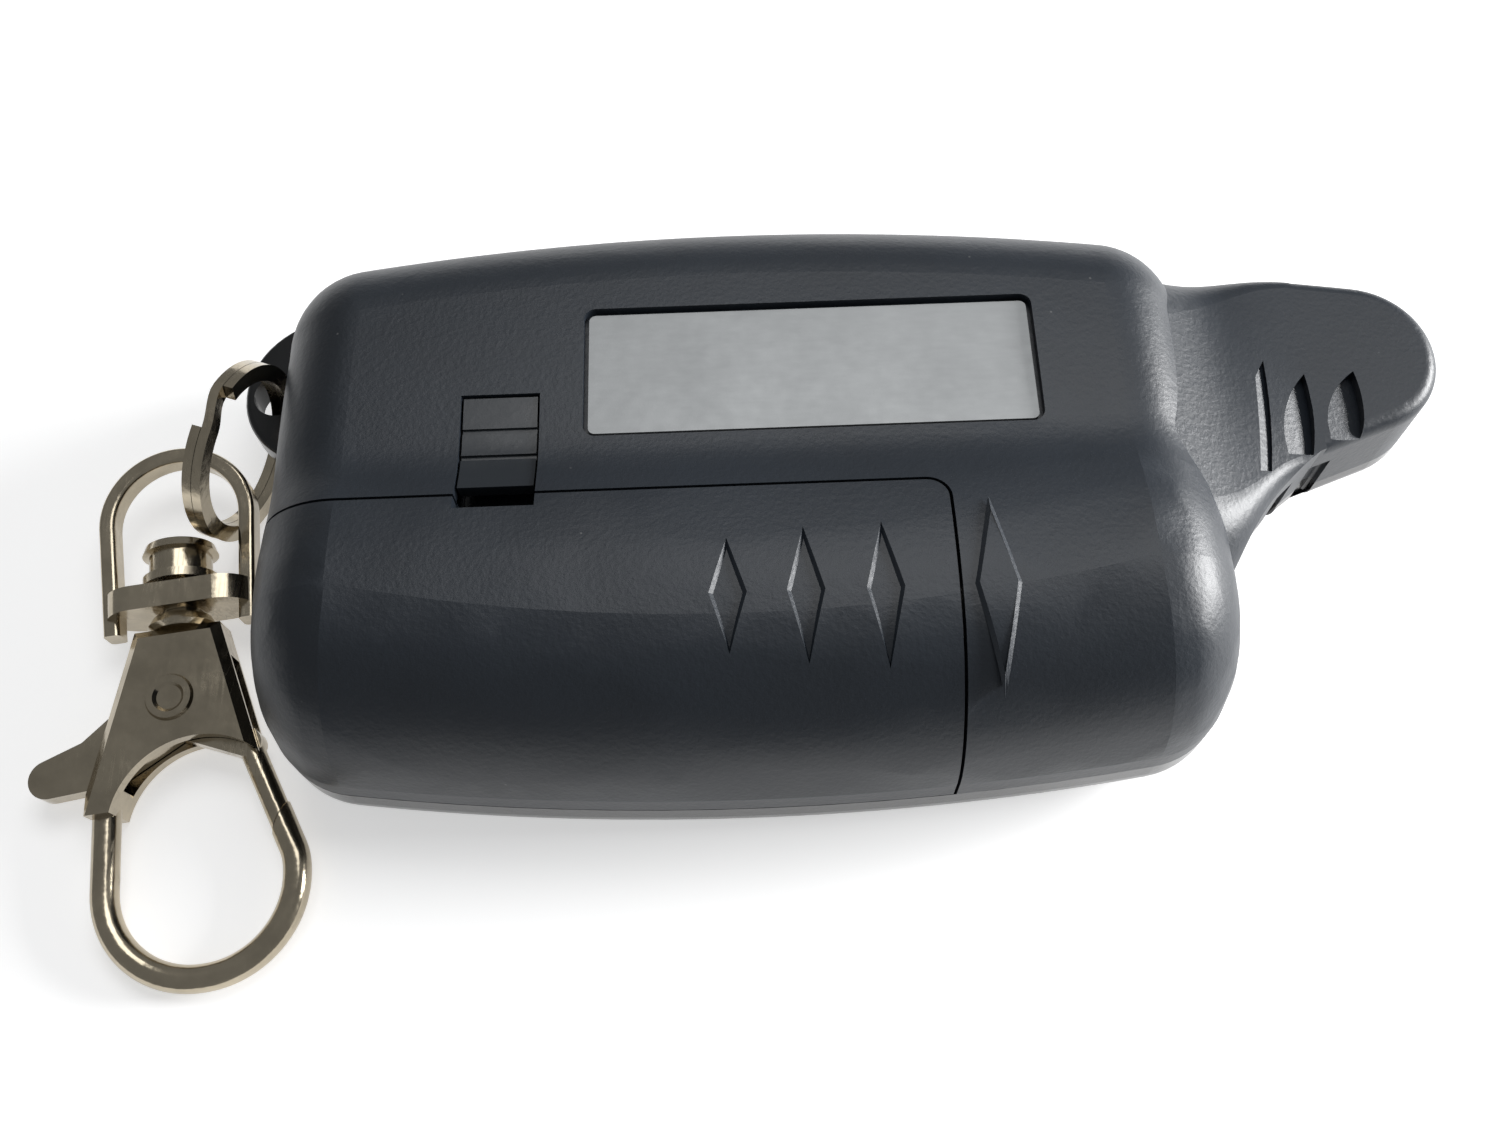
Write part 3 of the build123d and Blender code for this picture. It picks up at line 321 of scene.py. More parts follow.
def finish_piece(bm, name, material, body):
    """Turn a bmesh in millimetres into a piece in metres that rides on a body."""
    bmesh.ops.remove_doubles(bm, verts=bm.verts, dist=0.0005)
    bmesh.ops.recalc_face_normals(bm, faces=bm.faces)
    bmesh.ops.scale(bm, vec=(MM, MM, MM), verts=bm.verts)
    mesh = bpy.data.meshes.new(name)
    bm.to_mesh(mesh)
    bm.free()
    piece = bpy.data.objects.new(name, mesh)
    bpy.context.scene.collection.objects.link(piece)
    mesh.materials.append(material)
    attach(piece, body)
    return piece


def front_matrix(x, y, z):
    """Lays a mark on the front face: its right runs along Y and its top towards the aerial stub."""
    turn = Matrix(((0, 1, 0, 0), (1, 0, 0, 0), (0, 0, -1, 0), (0, 0, 0, 1)))
    return Matrix.Translation((x, y, z)) @ turn


def flat_bar(bm, place, across, up, wide, tall, thick, turn=0.0, corner=0.0):
    """A thin printed bar: a grid face, turned, its corners cut, then raised."""
    made = bmesh.ops.create_grid(bm, x_segments=1, y_segments=1, size=0.5)
    verts = made["verts"]
    bmesh.ops.scale(bm, vec=(wide, tall, 1), verts=verts)
    if corner:
        kept = set(bm.verts) - set(verts)
        bmesh.ops.bevel(
            bm, geom=verts, offset=corner, offset_type="OFFSET", segments=3, profile=0.5,
            affect="VERTICES", material=-1,
        )
        verts = [v for v in bm.verts if v not in kept]
    faces = list({f for v in verts for f in v.link_faces})
    raised = bmesh.ops.extrude_face_region(bm, geom=faces)
    tops = [v for v in raised["geom"] if isinstance(v, bmesh.types.BMVert)]
    bmesh.ops.translate(bm, vec=(0, 0, thick), verts=tops)
    whole = list(set(verts) | set(tops))
    bmesh.ops.rotate(bm, cent=(0, 0, 0), matrix=Matrix.Rotation(turn, 3, "Z"), verts=whole)
    bmesh.ops.translate(bm, vec=(across, up, 0), verts=whole)
    bmesh.ops.transform(bm, matrix=place, verts=whole)


def flat_arc(bm, place, across, up, radius, wide, thick, start, angle, steps=18):
    """A thin printed arc or ring: one small face swept about its centre."""
    made = bmesh.ops.create_grid(bm, x_segments=1, y_segments=1, size=0.5)
    verts = made["verts"]
    bmesh.ops.scale(bm, vec=(wide, thick, 1), verts=verts)
    bmesh.ops.rotate(bm, cent=(0, 0, 0), matrix=Matrix.Rotation(pi / 2, 3, "X"), verts=verts)
    bmesh.ops.translate(bm, vec=(radius, 0, thick / 2), verts=verts)
    bmesh.ops.rotate(bm, cent=(0, 0, 0), matrix=Matrix.Rotation(start, 3, "Z"), verts=verts)
    faces = list({f for v in verts for f in v.link_faces})
    kept = set(bm.verts) - set(verts)
    whole_turn = abs(angle - 2 * pi) < 0.001
    bmesh.ops.spin(
        bm, geom=faces, cent=(0, 0, 0), axis=(0, 0, 1), angle=angle, steps=steps,
        use_merge=whole_turn, use_duplicate=False,
    )
    whole = [v for v in bm.verts if v not in kept]
    bmesh.ops.translate(bm, vec=(across, up, 0), verts=whole)
    bmesh.ops.transform(bm, matrix=place, verts=whole)


# Diamond grips in millimetres: x and the two points along Y, then what all of them share
COVER_GRIPS = ((-1.1, -15.9, -7.6), (4.2, -16.7, -6.9), (9.6, -17.1, -6.7))
CASE_GRIP = (17.2, -17.8, -6.2)
GRIP_MIDDLE = -11.7
GRIP_HALF = 1.3
# The rim: cuts along a side, depth in millimetres, then shares of the grip's outline
RIM_CUTS = 9
RIM_SINK = 0.02
RIM_OVERLAP = 0.03
JUST_OUTSIDE = 1.05
JUST_INSIDE = 0.9


def surface_of(node):
    """A solid's surface, ready to be measured from above."""
    bm = bmesh.new()
    bm.from_mesh(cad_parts[node].data)
    surface = BVHTree.FromBMesh(bm)
    bm.free()
    return surface


def height_at(surface, x, y):
    """Height in millimetres of the first surface met from above."""
    above = Vector((x * MM, y * MM, 50 * MM))
    return surface.ray_cast(above, Vector((0, 0, -1)))[0].z / MM


def grip_rim(bm, surface, grip, width, raised):
    """A closed wedge round a diamond grip, so that its wall slopes: three loops bridged in a ring."""
    x, low, high = grip
    long = (high - low) / 2
    step = width * (long * long + GRIP_HALF * GRIP_HALF) ** 0.5 / (long * GRIP_HALF)
    far = 1 + step if raised else 1 - step
    near = 1 - RIM_OVERLAP if raised else 1 + RIM_OVERLAP
    loops = []
    for share in (1.0, far, near):
        kept = set(bm.edges)
        made = bmesh.ops.create_circle(bm, segments=4, radius=share)["verts"]
        sides = list({edge for vertex in made for edge in vertex.link_edges})
        bmesh.ops.subdivide_edges(bm, edges=sides, cuts=RIM_CUTS)
        sides = [edge for edge in bm.edges if edge not in kept]
        for vertex in {vertex for edge in sides for vertex in edge.verts}:
            reach = high - GRIP_MIDDLE if vertex.co.y > 0 else GRIP_MIDDLE - low
            across, along = vertex.co.x / share * GRIP_HALF, vertex.co.y / share * reach
            outside = height_at(surface, x + across * JUST_OUTSIDE, GRIP_MIDDLE + along * JUST_OUTSIDE)
            inside = height_at(surface, x + across * JUST_INSIDE, GRIP_MIDDLE + along * JUST_INSIDE)
            if share == 1.0:
                height = max(inside, outside)
            else:
                height = min(inside, outside) - RIM_SINK
            vertex.co = (x + across * share, GRIP_MIDDLE + along * share, height)
        loops.append(set(sides))
    for first, second in ((0, 1), (1, 2), (2, 0)):
        bmesh.ops.bridge_loops(bm, edges=list(loops[first] | loops[second]))


def box_mm(node):
    low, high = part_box(node)
    return low / MM, high / MM


# Settings


class RemotePlasticSettings(bpy.types.PropertyGroup):
    case_colour: FloatVectorProperty(
        name="Case Colour", description="Slate of the moulded case and battery cover", subtype="COLOR",
        size=3, min=0, max=1, default=(0.0135, 0.0185, 0.026),
    )
    case_roughness: FloatProperty(
        name="Case Roughness", description="Roughness of the moulded case", subtype="FACTOR",
        min=0, max=1, default=0.42,
    )
    grain_scale: FloatProperty(
        name="Grain Scale", description="Grains of the moulded texture per metre",
        min=500, max=8000, default=3400,
    )
    grain_depth: FloatProperty(
        name="Grain Depth", description="Depth of the moulded texture in millimetres",
        min=0, max=0.1, default=0.02,
    )
    rim_width: FloatProperty(
        name="Grip Rim", description="Width of the sloped rim of the diamond grips, in millimetres",
        min=0.05, max=0.6, default=0.3,
    )
    front_colour: FloatVectorProperty(
        name="Front Colour", description="Black of the glossy front shell and its key ring lug",
        subtype="COLOR", size=3, min=0, max=1, default=(0.007, 0.0075, 0.0085),
    )
    latch_colour: FloatVectorProperty(
        name="Latch Colour", description="Smoother slate of the cover latch", subtype="COLOR",
        size=3, min=0, max=1, default=(0.016, 0.02, 0.025),
    )
    button_colour: FloatVectorProperty(
        name="Button Colour", description="Grey of the rubber buttons", subtype="COLOR",
        size=3, min=0, max=1, default=(0.055, 0.06, 0.066),
    )


class RemoteMetalSettings(bpy.types.PropertyGroup):
    nickel_colour: FloatVectorProperty(
        name="Nickel Colour", description="Warm plating of the ring, bail and clasp", subtype="COLOR",
        size=3, min=0, max=1, default=(0.52, 0.455, 0.345),
    )
    nickel_roughness: FloatProperty(
        name="Nickel Roughness", description="Polish of the plating", subtype="FACTOR",
        min=0, max=1, default=0.17,
    )
    label_colour: FloatVectorProperty(
        name="Label Colour", description="Satin grey of the bare label plate", subtype="COLOR",
        size=3, min=0, max=1, default=(0.29, 0.3, 0.305),
    )
    label_roughness: FloatProperty(
        name="Label Roughness", description="Satin of the label plate", subtype="FACTOR",
        min=0, max=1, default=0.42,
    )


class RemoteFrontSettings(bpy.types.PropertyGroup):
    lens_colour: FloatVectorProperty(
        name="Window Tint", description="Smoke tint of the screen window", subtype="COLOR",
        size=3, min=0, max=1, default=(0.62, 0.65, 0.67),
    )
    screen_colour: FloatVectorProperty(
        name="Screen Colour", description="Ground of the liquid crystal screen", subtype="COLOR",
        size=3, min=0, max=1, default=(0.40, 0.46, 0.36),
    )
    mask_width: FloatProperty(
        name="Mask Width", description="Black border printed inside the window, in millimetres",
        min=0.5, max=4, default=1.7,
    )
    mark_colour: FloatVectorProperty(
        name="Mark Colour", description="Paint of the marks on the buttons", subtype="COLOR",
        size=3, min=0, max=1, default=(0.62, 0.64, 0.64),
    )


class RemoteStageSettings(bpy.types.PropertyGroup):
    floor_colour: FloatVectorProperty(
        name="Floor Colour", description="Pale floor under the remote", subtype="COLOR",
        size=3, min=0, max=1, default=(0.86, 0.86, 0.86),
    )
    floor_glow: FloatProperty(
        name="Floor Glow", description="White added to the floor as it is seen", min=0, max=1, default=0.5,
    )
    sky_strength: FloatProperty(
        name="Room Light", description="Even light from the whole room", min=0, max=2, default=0.24,
    )
    key_power: FloatProperty(
        name="Overhead Lamp", description="Power of the wide lamp above, in watts",
        min=0, max=20, default=0.62,
    )
    side_power: FloatProperty(
        name="Side Lamp", description="Power of the lamp at the stub's side, in watts",
        min=0, max=20, default=2.8,
    )
    camera_place: FloatVectorProperty(
        name="Camera Place", description="Camera position", subtype="TRANSLATION", unit="LENGTH",
        size=3, default=(0.00047, -0.05241, 0.11211),
    )
    camera_tilt: FloatProperty(
        name="Camera Tilt", description="Lean of the view away from straight down", subtype="ANGLE",
        default=radians(24.70),
    )
    camera_roll: FloatProperty(
        name="Camera Roll", description="Turn of the picture about the view", subtype="ANGLE",
        default=radians(-2.07),
    )
    camera_lens: FloatProperty(
        name="Camera Lens", description="Focal length on a 36 mm sensor, in millimetres",
        min=10, max=200, default=36.0,
    )


# The remote's pieces


class REMOTE_OT_case(bpy.types.Operator):
    """Slate moulded finish of the back shell and the battery cover, and glossy black of the front shell"""

    bl_idname = "remote.case"
    bl_label = "Case"

    def execute(self, context):
        settings = context.scene.remote_plastic
        material = plastic(
            "slate_plastic", settings.case_colour, settings.case_roughness, 0.018,
            settings.grain_scale, settings.grain_depth, 0.8, 0.05,
        )
        dress(material, "back_shell", "battery_cover")
        front = plastic("black_plastic", settings.front_colour, 0.2, 0.02, 2600.0, 0.006, 0.85, 0.04)
        dress(front, "front_shell")
        bm = bmesh.new()
        surface = surface_of("battery_cover")
        for grip in COVER_GRIPS:
            grip_rim(bm, surface, grip, settings.rim_width, False)
        finish_piece(bm, "cover_grip_rims", material, "battery_cover")
        bm = bmesh.new()
        grip_rim(bm, surface_of("back_shell"), CASE_GRIP, settings.rim_width, True)
        finish_piece(bm, "case_grip_rim", material, "case")
        return {"FINISHED"}


class REMOTE_OT_latch(bpy.types.Operator):
    """Smoother slate finish of the cover latch"""

    bl_idname = "remote.latch"
    bl_label = "Cover Latch"

    def execute(self, context):
        settings = context.scene.remote_plastic
        material = plastic("latch_plastic", settings.latch_colour, 0.3, 0.06, 2600.0, 0.006, 0.85, 0.06)
        dress(material, "latch_slider")
        return {"FINISHED"}


class REMOTE_OT_label(bpy.types.Operator):
    """Bare satin metal of the label plate, with faint cloudy patches"""

    bl_idname = "remote.label"
    bl_label = "Label Plate"

    def execute(self, context):
        settings = context.scene.remote_metal
        colour = settings.label_colour
        material, tree, shader = start_material("label_metal", metallic=0.55)
        drift = use_group(
            tree, "colour_drift", Colour=four(colour), Second_Colour=shade(colour, 0.93),
            Scale=75.0, Contrast=0.25,
        )["Colour"]
        fine = cloud(tree, place_on_object(tree, (0.25, 1, 1)), 2600.0, 2.0)
        grained = mix_colours(tree, remap(tree, fine, 0.35, 0.65, 0.0, 0.16), drift, shade(colour, 0.75))
        link(tree, grained, shader.inputs["Base Color"])
        gloss = use_group(tree, "worn_gloss", Roughness=settings.label_roughness, Spread=0.05, Scale=120.0)
        link(tree, gloss["Roughness"], shader.inputs["Roughness"])
        raise_surface(tree, shader, fine, 0.002 * MM)
        dress(material, "label_plate")
        return {"FINISHED"}


# The window's seat and the printed layers, in millimetres
WINDOW_SEAT = 3.1
MASK_THICK = 0.04
MASK_GAP = 0.005
MARK_THICK = 0.012
PAINT_THICK = 0.03
PAINT_SINK = 0.012


class REMOTE_OT_window(bpy.types.Operator):
    """Screen window with its printed mask, and the liquid crystal screen behind it"""

    bl_idname = "remote.window"
    bl_label = "Window and Screen"

    def execute(self, context):
        settings = context.scene.remote_front
        lens, tree, shader = start_material("smoke_window", ior=1.49)
        colour = settings.lens_colour
        drift = use_group(
            tree, "colour_drift", Colour=four(colour), Second_Colour=shade(colour, 0.94), Scale=40.0,
        )["Colour"]
        link(tree, drift, shader.inputs["Base Color"])
        shader.inputs["Transmission Weight"].default_value = 1.0
        scratches = use_group(tree, "fine_scratches", Scale=420.0, Width=0.02)["Mask"]
        link(tree, remap(tree, scratches, 0.0, 1.0, 0.03, 0.16), shader.inputs["Roughness"])
        dress(lens, "window_lens")

        screen, tree, shader = start_material("lcd")
        colour = settings.screen_colour
        drift = use_group(
            tree, "colour_drift", Colour=four(colour), Second_Colour=shade(colour, 0.9), Scale=90.0,
        )["Colour"]
        link(tree, drift, shader.inputs["Base Color"])
        gloss = use_group(tree, "worn_gloss", Roughness=0.22, Spread=0.04)["Roughness"]
        link(tree, gloss, shader.inputs["Roughness"])
        shader.inputs["Coat Weight"].default_value = 0.5
        dress(screen, "lcd_glass")

        backing = plastic("white_plastic", (0.72, 0.73, 0.7), 0.45, grain=2400.0, depth=0.006, drift=0.94)
        dress(backing, "lcd_diffuser")

        low, high = box_mm("window_lens")
        screen_face = box_mm("lcd_glass")[0].z
        middle = (low + high) / 2
        gap = screen_face - high.z
        if gap < MASK_GAP + MASK_THICK + MARK_THICK:
            raise RuntimeError(f"{gap:.3f} mm between the window and the screen is too little for the mask")
        ink = plastic("mask_ink", (0.008, 0.008, 0.009), 0.35, grain=2600.0, depth=0.004)
        opening = high - low - Vector((WINDOW_SEAT, WINDOW_SEAT, 0))
        bm = bmesh.new()
        bmesh.ops.create_grid(bm, x_segments=1, y_segments=1, size=0.5)
        bmesh.ops.scale(bm, vec=(opening.x, opening.y, 1), verts=bm.verts)
        inner = bmesh.ops.inset_individual(
            bm, faces=bm.faces[:], thickness=settings.mask_width, use_even_offset=True,
        )
        ring = set(inner["faces"])
        middle_faces = [f for f in bm.faces if f not in ring]
        bmesh.ops.delete(bm, geom=middle_faces, context="FACES")
        raised = bmesh.ops.extrude_face_region(bm, geom=bm.faces[:])
        tops = [v for v in raised["geom"] if isinstance(v, bmesh.types.BMVert)]
        bmesh.ops.translate(bm, vec=(0, 0, MASK_THICK), verts=tops)
        bmesh.ops.translate(bm, vec=(middle.x, middle.y, high.z + MASK_GAP), verts=bm.verts)
        finish_piece(bm, "window_mask", ink, "case")

        shadow = plastic("screen_marks", (0.16, 0.19, 0.15), 0.3, grain=2600.0, depth=0.002)
        place = front_matrix(middle.x, middle.y, screen_face - MARK_THICK / 2)
        bm = bmesh.new()
        self.clock(bm, place, -8.2)
        self.battery(bm, place, 7.0, 8.6)
        self.bars(bm, place, -8.6, 7.5)
        self.car(bm, place)
        finish_piece(bm, "screen_marks", shadow, "case")
        return {"FINISHED"}

    def clock(self, bm, place, up):
        """Four plain digits of seven bars with a colon between them, none of them lit."""
        for across in (-7.2, -3.0, 3.0, 7.2):
            for rise in (-1, 0, 1):
                flat_bar(bm, place, across, up + rise * 2.1, 1.9, 0.42, MARK_THICK, corner=0.12)
            for side in (-1, 1):
                for rise in (-1, 1):
                    left, middle = across + side * 1.25, up + rise * 1.05
                    flat_bar(bm, place, left, middle, 0.42, 1.6, MARK_THICK, corner=0.12)
        for rise in (-0.9, 0.9):
            flat_bar(bm, place, 0, up + rise, 0.5, 0.5, MARK_THICK, corner=0.15)

    def battery(self, bm, place, across, up):
        for rise in (-0.95, 0.95):
            flat_bar(bm, place, across, up + rise, 4.2, 0.25, MARK_THICK)
        for side in (-2.0, 2.0):
            flat_bar(bm, place, across + side, up, 0.25, 1.6, MARK_THICK)
        flat_bar(bm, place, across + 2.4, up, 0.4, 0.8, MARK_THICK)
        for step in (-1.15, 0.0, 1.15):
            flat_bar(bm, place, across + step, up, 0.8, 1.2, MARK_THICK)

    def bars(self, bm, place, across, up):
        for number in range(4):
            tall = 0.7 + 0.5 * number
            flat_bar(bm, place, across + number * 0.9, up + tall / 2, 0.55, tall, MARK_THICK)

    def car(self, bm, place):
        """Outline of a plain car seen from above."""
        for side in (-1, 1):
            flat_bar(bm, place, side * 2.6, 0.6, 0.3, 7.4, MARK_THICK, corner=0.1)
            flat_bar(bm, place, side * 2.05, 4.75, 0.3, 1.6, MARK_THICK, turn=side * 0.75, corner=0.1)
            flat_bar(bm, place, side * 2.2, -3.5, 0.3, 1.2, MARK_THICK, turn=-side * 0.7, corner=0.1)
            flat_bar(bm, place, side * 1.75, -0.3, 0.25, 3.4, MARK_THICK, corner=0.08)
        flat_bar(bm, place, 0, 5.35, 3.0, 0.3, MARK_THICK, corner=0.1)
        flat_bar(bm, place, 0, -4.0, 3.6, 0.3, MARK_THICK, corner=0.1)
        flat_bar(bm, place, 0, 1.9, 3.7, 0.3, MARK_THICK, corner=0.1)
        flat_bar(bm, place, 0, -2.3, 3.7, 0.3, MARK_THICK, corner=0.1)


class REMOTE_OT_buttons(bpy.types.Operator):
    """Rubber buttons with their painted marks, and the plungers and switches under them"""

    bl_idname = "remote.buttons"
    bl_label = "Buttons"

    def execute(self, context):
        rubber = plastic(
            "button_rubber", context.scene.remote_plastic.button_colour, 0.55, 0.05, 2600.0, 0.01, 0.86, 0.05,
        )
        stalk = plastic("plunger_plastic", (0.1, 0.1, 0.1), 0.5)
        tin = metal("tin_metal", (0.6, 0.6, 0.59), 0.3)
        paint = plastic("mark_paint", context.scene.remote_front.mark_colour, 0.5, grain=3000.0, depth=0.004)
        drawings = (self.closed_lock, self.open_lock, self.horn, self.target)
        for number, draw in enumerate(drawings, 1):
            dress(rubber, f"button_{number}")
            dress(stalk, f"plunger_{number}")
            dress(tin, f"switch_{number}")
            low, high = box_mm(f"button_{number}")
            middle = (low + high) / 2
            place = front_matrix(middle.x, middle.y, low.z + PAINT_SINK)
            bm = bmesh.new()
            draw(bm, place)
            finish_piece(bm, f"button_mark_{number}", paint, f"button_{number}")
        return {"FINISHED"}

    def closed_lock(self, bm, place):
        flat_bar(bm, place, 0, -0.55, 2.2, 1.6, PAINT_THICK, corner=0.2)
        flat_arc(bm, place, 0, 0.55, 0.7, 0.3, PAINT_THICK, 0, pi)
        for side in (-0.7, 0.7):
            flat_bar(bm, place, side, 0.38, 0.3, 0.36, PAINT_THICK)

    def open_lock(self, bm, place):
        flat_bar(bm, place, 0, -0.55, 2.2, 1.6, PAINT_THICK, corner=0.2)
        flat_arc(bm, place, 0.0, 0.95, 0.7, 0.3, PAINT_THICK, 0, pi)
        flat_bar(bm, place, -0.7, 0.58, 0.3, 0.76, PAINT_THICK)

    def horn(self, bm, place):
        flat_bar(bm, place, -0.9, 0, 0.7, 0.9, PAINT_THICK, corner=0.08)
        flat_bar(bm, place, -0.1, 0, 0.35, 1.9, PAINT_THICK, corner=0.1)
        for radius in (0.75, 1.3):
            flat_arc(bm, place, 0.1, 0, radius, 0.22, PAINT_THICK, -pi / 4, pi / 2)

    def target(self, bm, place):
        flat_arc(bm, place, 0, 0, 1.05, 0.26, PAINT_THICK, 0, 2 * pi, 32)
        flat_arc(bm, place, 0, 0, 0.22, 0.42, PAINT_THICK, 0, 2 * pi, 24)


class REMOTE_OT_board(bpy.types.Operator):
    """Circuit board and its parts, the aerial coil, buzzer, vibration motor and battery contacts"""

    bl_idname = "remote.board"
    bl_label = "Circuit Board"

    def execute(self, context):
        mask, tree, shader = start_material("board_green")
        vector = place_on_object(tree)
        tracks = tree.nodes.new("ShaderNodeTexVoronoi")
        tracks.feature = "DISTANCE_TO_EDGE"
        tracks.inputs["Scale"].default_value = 420.0
        link(tree, vector, tracks.inputs["Vector"])
        lines = remap(tree, tracks.outputs["Distance"], 0.05, 0.09, 1.0, 0.0)
        ground = use_group(
            tree, "colour_drift", Colour=(0.012, 0.1, 0.04, 1), Second_Colour=(0.01, 0.075, 0.03, 1),
            Scale=120.0,
        )["Colour"]
        link(tree, mix_colours(tree, lines, ground, (0.03, 0.19, 0.07, 1)), shader.inputs["Base Color"])
        gloss = use_group(tree, "worn_gloss", Roughness=0.3, Spread=0.05)["Roughness"]
        link(tree, gloss, shader.inputs["Roughness"])
        raise_surface(tree, shader, lines, 0.02 * MM)
        dress(mask, "main_board")

        chip = plastic("chip_black", (0.016, 0.016, 0.017), 0.5, grain=4200.0, depth=0.008)
        dress(chip, "main_chip", "radio_chip", "memory_chip", "power_inductor")
        tin = metal("can_metal", (0.62, 0.62, 0.6), 0.28)
        dress(tin, "crystal_can", "vibration_motor", "minus_contact", "plus_contact")
        iron = metal("weight_metal", (0.36, 0.34, 0.31), 0.42, second=0.7, grain=1800.0, depth=0.02)
        dress(iron, "vibration_weight")
        copper = metal("copper", (0.72, 0.38, 0.22), 0.25, second=0.8)
        dress(copper, "aerial_coil")
        strip = plastic("strip_rubber", (0.5, 0.28, 0.3), 0.6, grain=5200.0, depth=0.01)
        dress(strip, "zebra_strip")
        black = plastic("buzzer_black", (0.01, 0.01, 0.011), 0.3, grain=2600.0, depth=0.006)
        dress(black, "buzzer")
        return {"FINISHED"}


class REMOTE_OT_battery(bpy.types.Operator):
    """Battery cell with a plain two-colour jacket, and its spring"""

    bl_idname = "remote.battery"
    bl_label = "Battery"

    def execute(self, context):
        low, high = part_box("battery_cell")
        jacket, tree, shader = start_material("cell_jacket")
        parts = tree.nodes.new("ShaderNodeSeparateXYZ")
        link(tree, place_on_object(tree), parts.inputs[0])
        along = remap(tree, parts.outputs["X"], low.x, high.x, 0.0, 1.0)
        band = remap(tree, along, 0.70, 0.705, 0.0, 1.0)
        nub = remap(tree, along, 0.974, 0.976, 0.0, 1.0)
        foot = remap(tree, along, 0.012, 0.008, 0.0, 1.0)
        bare = calculate(tree, "MAXIMUM", nub, foot)
        blue = use_group(
            tree, "colour_drift", Colour=(0.035, 0.11, 0.27, 1), Second_Colour=(0.03, 0.09, 0.22, 1),
            Scale=160.0,
        )["Colour"]
        wrapped = mix_colours(tree, band, blue, (0.55, 0.56, 0.57, 1))
        link(tree, mix_colours(tree, bare, wrapped, (0.62, 0.61, 0.58, 1)), shader.inputs["Base Color"])
        link(tree, bare, shader.inputs["Metallic"])
        gloss = use_group(tree, "worn_gloss", Roughness=0.25, Spread=0.06)["Roughness"]
        link(tree, gloss, shader.inputs["Roughness"])
        waves = use_group(tree, "moulded_grain", Scale=700.0)["Height"]
        raise_surface(tree, shader, waves, 0.008 * MM)
        dress(jacket, "battery_cell")
        steel = metal("spring_steel", (0.62, 0.6, 0.56), 0.22)
        dress(steel, "battery_spring", "clasp_spring")
        return {"FINISHED"}


class REMOTE_OT_screws(bpy.types.Operator):
    """One steel finish for the case screws and the board screws"""

    bl_idname = "remote.screws"
    bl_label = "Screws"

    def execute(self, context):
        steel = metal("screw_steel", (0.4, 0.4, 0.41), 0.34, second=0.75, scratch=0.6)
        dress(steel, "case_screw_1", "case_screw_2", "board_screw_1", "board_screw_2")
        return {"FINISHED"}


class REMOTE_OT_chain(bpy.types.Operator):
    """Warm nickel plating of the split ring, bail, swivel and trigger clasp"""

    bl_idname = "remote.chain"
    bl_label = "Key Chain"

    def execute(self, context):
        settings = context.scene.remote_metal
        nickel = metal(
            "nickel", settings.nickel_colour, settings.nickel_roughness, 0.05, 0.78, 0.45, 800.0, 0.03,
        )
        dress(
            nickel, "split_ring", "bail", "swivel_post", "clasp_body", "clasp_lever", "clasp_rivet",
        )
        return {"FINISHED"}


# The studio, in metres

OVERHEAD_PLACE = (0.06, 0.17, 0.42)
OVERHEAD_SIZE = (0.34, 0.22)
SIDE_PLACE = (0.36, 0.06, 0.12)
SIDE_SIZE = (0.2, 0.12)
FLOOR_HALF = 2.0
FLOOR_GAP = 0.00005


